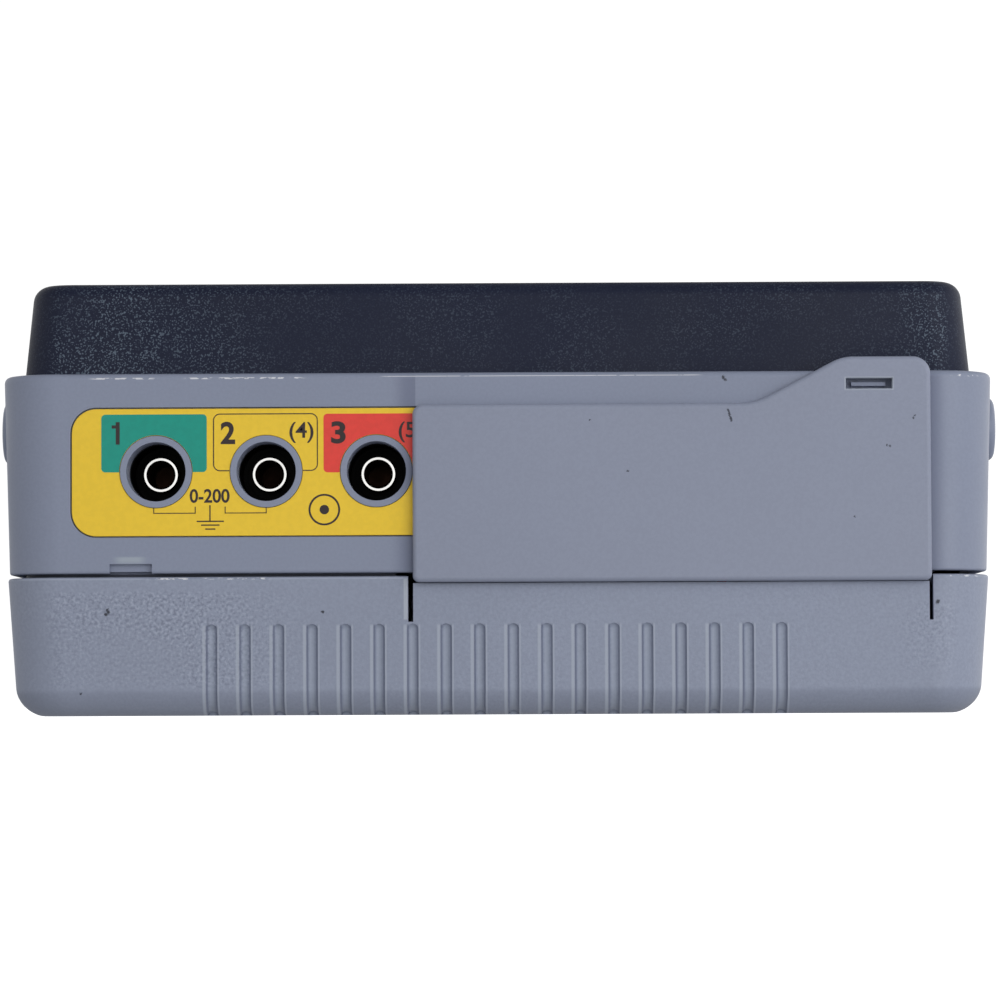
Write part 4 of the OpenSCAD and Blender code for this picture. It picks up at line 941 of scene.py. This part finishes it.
ink_green = ink("screen_ink_green", "#0C9C8A")
ink_red = ink("screen_ink_red", "#F0463C")
ink_dark = ink("screen_ink_dark", "#33282A")
for coat, *field_shape in ((ink_green, "field_green", (-62.7, 38.55), (-46.0, 47.7), 0.63),
                           (ink_red, "field_red", (-27.5, 38.4), (-10.9, 47.7), 0.63),
                           (ink_dark, "field_line", (-45.0, 38.65), (-28.4, 47.8), 1.1, 0.16)):
    finish(ink_patch(*field_shape), coat)

# %% Numbers and signs
ink_face = label_face - INK
numbers = [stamp("number", words, low, high, base, bold=bold) for words, low, high, base, bold in (
    ("2", (-43.8, 42.95), (-41.5, 46.5), label_face, 0.03),
    ("3", (-26.3, 42.95), (-24.0, 46.5), ink_face, 0.03),
    ("(4)", (-32.9, 43.1), (-29.1, 46.4), label_face, 0.012),
    ("(5)", (-15.6, 43.1), (-11.8, 46.4), ink_face, 0.012),
    ("0-200", (-48.7, 33.65), (-42.4, 35.85), label_face, 0.02))]
strokes = []
for x0, x1 in ((-54.4, -47.84), (-43.1, -36.6)):
    strokes += [((x0, 32.03), (x0, 32.98), 0.14), ((x1, 32.03), (x1, 32.98), 0.14),
                ((x0, 32.03), (x1, 32.03), 0.14)]
number_one = [((-60.1, 43.26), (-60.1, 46.2), 0.62, ink_face),
              ((-60.8, 45.75), (-60.66, 45.75), 0.5, ink_face)]
earth_sign = [((-45.5, 33.18), (-45.5, 30.75), 0.2), ((-47.5, 30.73), (-43.4, 30.73), 0.2),
              ((-46.8, 30.13), (-44.1, 30.13), 0.2), ((-46.15, 29.5), (-44.75, 29.5), 0.2)]
numbers += [stroke(*row) for row in strokes + number_one + earth_sign]
sign_x, sign_z = -27.4, 32.5
sign = rod("socket_sign", (sign_x, ink_face, sign_z), "y", 2.5, INK, 48)
carve(sign, rod("socket_inner", (sign_x, label_face - 1, sign_z), "y", 2.2, 2, 48))
numbers += [sign, rod("socket_dot", (sign_x, ink_face, sign_z), "y", 0.75, INK, 32)]
finish(join("label_marks", numbers), ink_dark)

# %% [markdown]
# ## Sliding shutter
# The shutter is a thin plate with a raised tab. Two cuts across a box give the corners of the
# sloping shoulder, and the top left part is then moved down. Each corner is rounded by its own
# radius, and the front edge last.

# %% Shutter plate
shutter_front, shutter_back = front - 1.8, front - 0.3
left, right = -13.4, 68.5
low_z, high_z, plate_z = 20.9, 56.3, 49.0
tab_x, shoulder_x = 54.5, 40.68
tab_r, shoulder_r = 6.4, 8.4
shutter = block("shutter_plate", (left, shutter_front, low_z), (right, shutter_back, high_z))
for x in (shoulder_x, tab_x):
    slice_at(shutter, X, x)
edit(shutter, "VERT", lambda v: spot(v).z > plate_z and spot(v).x < shoulder_x + 0.1)
bpy.ops.transform.translate(value=(0, 0, (plate_z - high_z) * MM))
leave()
half_slope = math.atan((high_z - plate_z) / (tab_x - shoulder_x)) / 2
corners = [(left, low_z, 1), (right, low_z, 1), (right, high_z, 2.8), (left, plate_z, 1.6),
           (tab_x, high_z, tab_r * math.tan(half_slope)),
           (shoulder_x, plate_z, shoulder_r * math.tan(half_slope))]
for x, z, size in corners:
    soften(shutter, lambda e: level(e, X, x) and level(e, Z, z), size, 10)
edit(shutter, "FACE", lambda f: abs(f.normal.y) > 0.9)
bpy.ops.mesh.dissolve_faces()
leave()
soften(shutter, at(Y, shutter_front), 0.75, 6)
soften(shutter, at(Y, shutter_back), 0.15, 2)
print("shutter faces", len(shutter.data.polygons))

# %% Shutter window, hook and lip
carve(shutter, block("window", (window_x[0], shutter_front - 1, window_z - 0.8),
                     (window_x[1], shutter_back + 1, window_z + 0.8)))
soften(shutter, at(Y, shutter_front, 60), 0.2, 3)
hook = block("hook", (55.1, shutter_back - 0.1, ledge + 0.3), (62.5, front + 2.3, high_z - 0.6))
carve(hook, block("leg", (55.1, front + 1.6, ledge - 1.4), (62.5, front + 2.3, ledge + 0.4)),
      "UNION")
lip = block("lip", (43.0, shutter_back - 0.1, low_z), (67.9, -48.5, low_z + 1))
carve(lip, block("bead", (43.0, -49.5, low_z - 1.5), (67.9, -48.5, low_z + 1)), "UNION")
for extra in (hook, lip):
    soften(extra, lambda e: turns(e, 60) and spot(e).y > shutter_back + 0.1, 0.15, 2)
    carve(shutter, extra, "UNION")
finish(shutter, shutter_abs, "terminal_shutter", "shutter")

# %% [markdown]
# ## Operating face
# The face lies 9 mm below the rim. The panel has holes for the lens, the button, the lamp and
# the shaft, and carries a printed scale round the knob.

# %% Face panel
face_z = 60
panel_abs = grained("matt_abs_light_grey", "#C3C6CE", 0.5, 0.35, 0.02, 0.03)
knob_at, button_at, lamp_at = (38, -3), (-44, -25), (-16, -25)
panel = slab("face_plate", 70.7, 44.2, panel_z, face_z, 3.7)
carve(panel, rounded_block("lens_seat", (-66.05, 1.95, 58.8), (14.05, 38.05, 61), 2.05, 8))
carve(panel, rounded_block("lens_hole", (-64, 4, 57), (12, 36, 61), 1, 6))
for spot_xy, radius in ((button_at, 10.15), (lamp_at, 2.55), (knob_at, 3.5)):
    drill(panel, "hole", [spot_xy], 57, radius, 4, 64)
soften(panel, at(Z, face_z, 30), 0.15, 2)
finish(panel, panel_abs, "face_panel")

# %% Printing on the face
scale = []
detents = [(165, "0"), (115, "20"), (65, "200"), (15, "2000")]
for angle, words in detents:
    along = Vector((math.cos(math.radians(angle)), math.sin(math.radians(angle))))
    centre = Vector(knob_at) + along * 23.2
    half = Vector((0.95 * len(words), 1.45))
    scale.append(stamp("scale_number", words, centre - half, centre + half, face_z, "top", 0.02))
    tick = block("tick", (18.3, -0.25, face_z), (20.1, 0.25, face_z + INK))
    scale.append(turn_about(tick, angle, knob_at))
for r_out, r_in, spot_xy in ((18.0, 17.7, knob_at), (14.6, 14.3, button_at)):
    scale_ring = rod("scale_ring", (*spot_xy, face_z), "z", r_out, INK, 96)
    scale.append(carve(scale_ring, rod("inner", (*spot_xy, face_z - 1), "z", r_in, 2, 96)))
border = slab("border", 69.2, 42.7, face_z, face_z + INK, 3)
scale.append(carve(border, slab("inner", 68.8, 42.3, face_z - 1, face_z + 1, 2.6)))
for angle in (90, 30):
    tick = block("tick", (12.2, -0.3, face_z), (14.0, 0.3, face_z + INK))
    scale.append(turn_about(tick, angle, button_at))
finish(join("face_marks", scale), ink_dark)

# %% [markdown]
# ## Lens and display
# The lens is clear acrylic with a black frame printed on its underside. Below it lies the grey
# green glass of a liquid crystal display, with digits of darker glass.

# %% Lens
def clear(name, colour, roughness, ior=1.49):
    made, tree, shader = new_material(name, colour, roughness, 0.5)
    shader.inputs["Transmission Weight"].default_value = 1
    shader.inputs["IOR"].default_value = ior
    rough = ramp(tree, noise(tree, 6, 3), 0.4, 0.7, roughness, roughness + 0.05)
    tree.links.new(rough, shader.inputs["Roughness"])
    return made


lens_acrylic = clear("clear_acrylic", "#F2F6F5", 0.03)
ink_black = ink("lens_ink_black", "#0E1012", 0.3)
lens = rounded_block("lens_plate", (-66, 2, 58.8), (14, 38, face_z), 2, 8)
soften(lens, at(Z, face_z), 0.2, 3)
finish(lens, lens_acrylic, "display_window")
frame_print = rounded_block("lens_frame", (-65.9, 2.1, 58.72), (13.9, 37.9, 58.78), 1.9, 8)
carve(frame_print, rounded_block("inner", (-59, 8, 58), (7, 32, 60), 1, 6))
finish(frame_print, ink_black)

# %% Display glass and digits
lcd_glass = grained("lcd_glass_grey_green", "#8E9A88", 0.18, 0.6, 0.001, 0.02, 0.5)
lcd_digit = grained("lcd_segment_dark", "#3C4540", 0.25, 0.6, 0.001, 0.02, 0.5)
glass_top = 57.0
glass = block("lcd_face", (-61.3, 7.2, glass_top - 0.3), (9.3, 32.8, glass_top))
finish(glass, lcd_glass)
digit_w, digit_h, bar, raised = 10, 17, 1.6, 0.02
half_h = digit_h / 2
first_x, digit_pitch = -50, 13.5
segments = []
for k in range(4):
    x0, y0 = first_x + digit_pitch * k, 11.5
    flat = [(x0 + bar, y, digit_w - 2 * bar, bar)
            for y in (y0, y0 + half_h - bar / 2, y0 + digit_h - bar)]
    upright = [(x0 + side, y0 + bar / 2 + lift, bar, half_h - bar)
               for side in (0, digit_w - bar) for lift in (0.2, half_h + 0.2)]
    shown = upright[2:] if k == 0 else flat[::2] + upright
    segments += [block("segment", (x, y, glass_top), (x + w, y + h, glass_top + raised))
                 for x, y, w, h in shown]
point_x = first_x + 3 * digit_pitch - 2.1
segments.append(rod("point", (point_x, 12.4, glass_top), "z", 0.9, raised, 24))
finish(join("lcd_digits", segments), lcd_digit)

# %% [markdown]
# ## Knob, button, lamp and studs
# These pieces are turned from a profile. The grip of the knob is a box whose end is narrowed to
# point at the scale, hollowed at both sides by large round cutters.

# %% Range knob
knob_abs = grained("matt_abs_charcoal", "#2A2C33", 0.45, 0.3, 0.02, 0.05)
top, at_rest = 68.4, 75
disc = turned("knob_disc", [(0, 60.3), (16.9, 60.3), (17, 60.4), (16.9, 60.6)]
              + arc(15.9, 61.8, 0.5, 30, 90) + [(0, 62.3)], (*knob_at, 0), "z", 96)
grip = block("knob_grip", (-4.5, -16, 62), (4.5, 16, top))
slice_at(grip, Y, 11.5)
stretch(grip, lambda v: spot(v).y > 15, (0.16, 1, 1), (0, 16, 65))
soften(grip, lambda e: abs(span(e).z) > 5 and spot(e).y < 0, 2, 6)
soften(grip, lambda e: abs(span(e).z) > 5 and 11 < spot(e).y < 15, 1.2, 4)
for side in (-1, 1):
    carve(grip, rod("flute", (side * 15.5, -2, 62.3), "z", 12, 8, 96))
soften(grip, at(Z, top, 30), 0.8, 4)
carve(grip, block("insert_seat", (-0.85, 3.95, top - 0.6), (0.85, 13.05, top + 1)))
carve(disc, turn_about(grip, at_rest, knob_at), "UNION")
carve(disc, rod("shaft_bore", (*knob_at, 60), "z", 3.05, 6.8, 48))
finish(disc, knob_abs, "range_knob", "knob")

# %% Pointer insert
white_abs = grained("gloss_abs_white", "#EDEDE8", 0.3, 0.4, 0.003, 0.02)
pointer = block("pointer_insert", (-0.8, 4, top - 0.6), (0.8, 13, top))
soften(pointer, at(Z, top), 0.12, 2)
finish(turn_about(pointer, at_rest, knob_at), white_abs, "knob_pointer", "knob")

# %% Test button, bezel and guide
button_abs = grained("gloss_abs_amber", "#E0A526", 0.3, 0.3, 0.003, 0.03)
cap_profile = [(4, 57.75), (4, 63.8), (6.2, 63.8), (6.2, 57.75), (7.35, 57.75), (7.5, 57.9),
               (7.5, 64.1)] + arc(6.4, 64.2, 1.0, 15, 80)
cap_profile += [(5.6, 65.18), (3, 65.0), (0, 64.95), (0, 63.8), (2.55, 63.8), (2.55, 57.75),
                (4, 57.75)]
cap = turned("button_cap", cap_profile, (*button_at, 0), "z", 72)
carve(cap, block("line", (button_at[0] - 0.7, button_at[1] - 5.5, 64.5),
                 (button_at[0] + 0.7, button_at[1] + 5.5, 66)))
finish(cap, button_abs, "test_button", "button")
bezel_profile = [(7.95, 58), (10.1, 58), (11.35, 60.5), (11.3, 60.7), (11.0, 60.8), (8.2, 60.8),
                 (7.95, 60.6), (7.95, 58)]
bezel = turned("button_bezel", bezel_profile, (*button_at, 0), "z", 72)
finish(bezel, navy_abs, "test_bezel")

# %% Lamp
lamp_lens = clear("lamp_polycarbonate_green", "#3FB65A", 0.12, 1.58)
dome = 58.1
lamp_profile = [(0, 50), (2, 50), (2, 56.95), (3, 56.95), (3, 57.95), (2.5, 57.95)]
lamp_profile += arc(0, dome, 2.5, 0, 89, 8) + [(0, dome + 2.5)]
lamp_piece = turned("lamp_dome", lamp_profile, (*lamp_at, 0), "z", 48)
finish(lamp_piece, lamp_lens, "ok_lamp")

# %% Strap studs
stud_z = 48
stud_profile = [(1.55, 0), (3.5, 0), (3.5, 2.5), (3.7, 2.7), (5.1, 2.7), (5.4, 3.0), (5.4, 3.6)]
stud_profile += arc(4.2, 3.8, 1.2, 10, 90) + [(0, 5.0), (0, 3.8), (1.55, 3.8), (1.55, 0)]
for side, axis, name in ((-1, "-x", "left"), (1, "x", "right")):
    stud = turned("stud_" + name, stud_profile, (side * 79.0, 0, stud_z), axis)
    finish(stud, satin_abs, "strap_stud_" + name)

# %% [markdown]
# ## Battery door
# The door in the bottom is a plate with two tongues, an ear for its screw and a few grooves
# for the thumb.

# %% Battery door
door_low, door_high = 0.2, 2.2
door = slab("door_plate", 46.5, 30.35, door_low, door_high, 1.8, 8)
carve(door, rod("ear", (0, ear_y, door_low), "z", 5, 2, 64), "UNION")
for x in tongue_x:
    carve(door, block("tongue", (x - 5, -32.55, 1.1), (x + 5, -30.2, door_high)), "UNION")
carve(door, rod("screw_hole", (0, ear_y, 0), "z", screw_r, 3, 32))
carve(door, rod("head_seat", (0, ear_y, 0), "z", 2.85, 1.3, 48))
for i in range(-3, 4):
    groove_y = 22.35 + 2 * i
    carve(door, rounded_block("groove", (-9, groove_y - 0.4, 0), (9, groove_y + 0.4, 0.6), 0.35, 4))
soften(door, at(Z, door_low, 60), 0.15, 2)
finish(door, leather_abs, "battery_door", "door")

# %% [markdown]
# ## Inside pieces
# The pieces inside keep their CAD shapes. They show when the case is taken apart, so each gets
# the finish of its own material: metals with a patchy polish, boards with a flecked green,
# dull plastics with a fine grain, a shiny cell sleeve and a deep black foam.

# %% Finishes of the inside pieces
inside_finish = [
    (metal("zinc_plated_steel", "#B9BDC4", 0.32, 0.12, 4), "screw_steel",
     "switch_shaft control_screws board_screws door_screw case_screws stud_screws"),
    (metal("nickel_plated_spring_wire", "#BFC2C6", 0.28, 0.1, 2), "contact_metal",
     "test_spring battery_springs"),
    (metal("brass", "#C9A765", 0.3, 0.12, 4), "brass", "terminal_nuts"),
    (metal("tinned_bronze", "#B8B4A8", 0.35, 0.1, 5), "contact_metal",
     "fuse_clips battery_contacts"),
    (metal("enamelled_copper_wire", "#9C6233", 0.35, 0.15, 0.6), "brass", "board_transformer"),
    (grained("glass_epoxy_green", "#235E3A", 0.35, 0.5, 0.01, 0.08), "board_green",
     "control_board main_board"),
    (grained("moulded_epoxy_black", "#1D1F22", 0.45, 0.2, 0.01, 0.06), "black_plastic",
     "test_switch board_link board_chips"),
    (grained("pvc_sleeve_navy", "#2C3250", 0.3, 0.5, 0.004, 0.04), "black_plastic",
     "board_capacitors"),
    (grained("pbt_cream", "#D9D3BE", 0.4, 0.3, 0.008, 0.03), "white_plastic", "board_relays"),
    (grained("pbt_blue", "#2C4C7A", 0.4, 0.3, 0.008, 0.04), "black_plastic", "range_switch"),
    (grained("pbt_grey", "#40464C", 0.42, 0.3, 0.008, 0.04), "black_plastic", "display_module"),
    (grained("pvc_wire_red", "#B3302C", 0.4, 0.6, 0.004, 0.04), "wire_red",
     "terminal_leads battery_leads"),
    (grained("cell_foam_black", "#2E2E31", 0.85, 0.6, 0.12, 0.12, 0.2), "foam", "door_pad"),
    (grained("cell_sleeve_gold", "#C79F45", 0.28, 0.5, 0.003, 0.05, 0.5), "cell_foil",
     "battery_cells"),
    (clear("fuse_glass", "#E8EEEC", 0.04, 1.5), "glass_tube", "fuse"),
    (white_abs, "white_plastic", "test_plunger"),
    (panel_abs, "panel_grey", "test_guide"),
]
for coat, slot_name, names in inside_finish:
    for name in names.split():
        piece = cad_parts[name]
        piece.data.materials.clear()
        piece.data.materials.append(coat)
print("finishes of inside pieces", len(inside_finish))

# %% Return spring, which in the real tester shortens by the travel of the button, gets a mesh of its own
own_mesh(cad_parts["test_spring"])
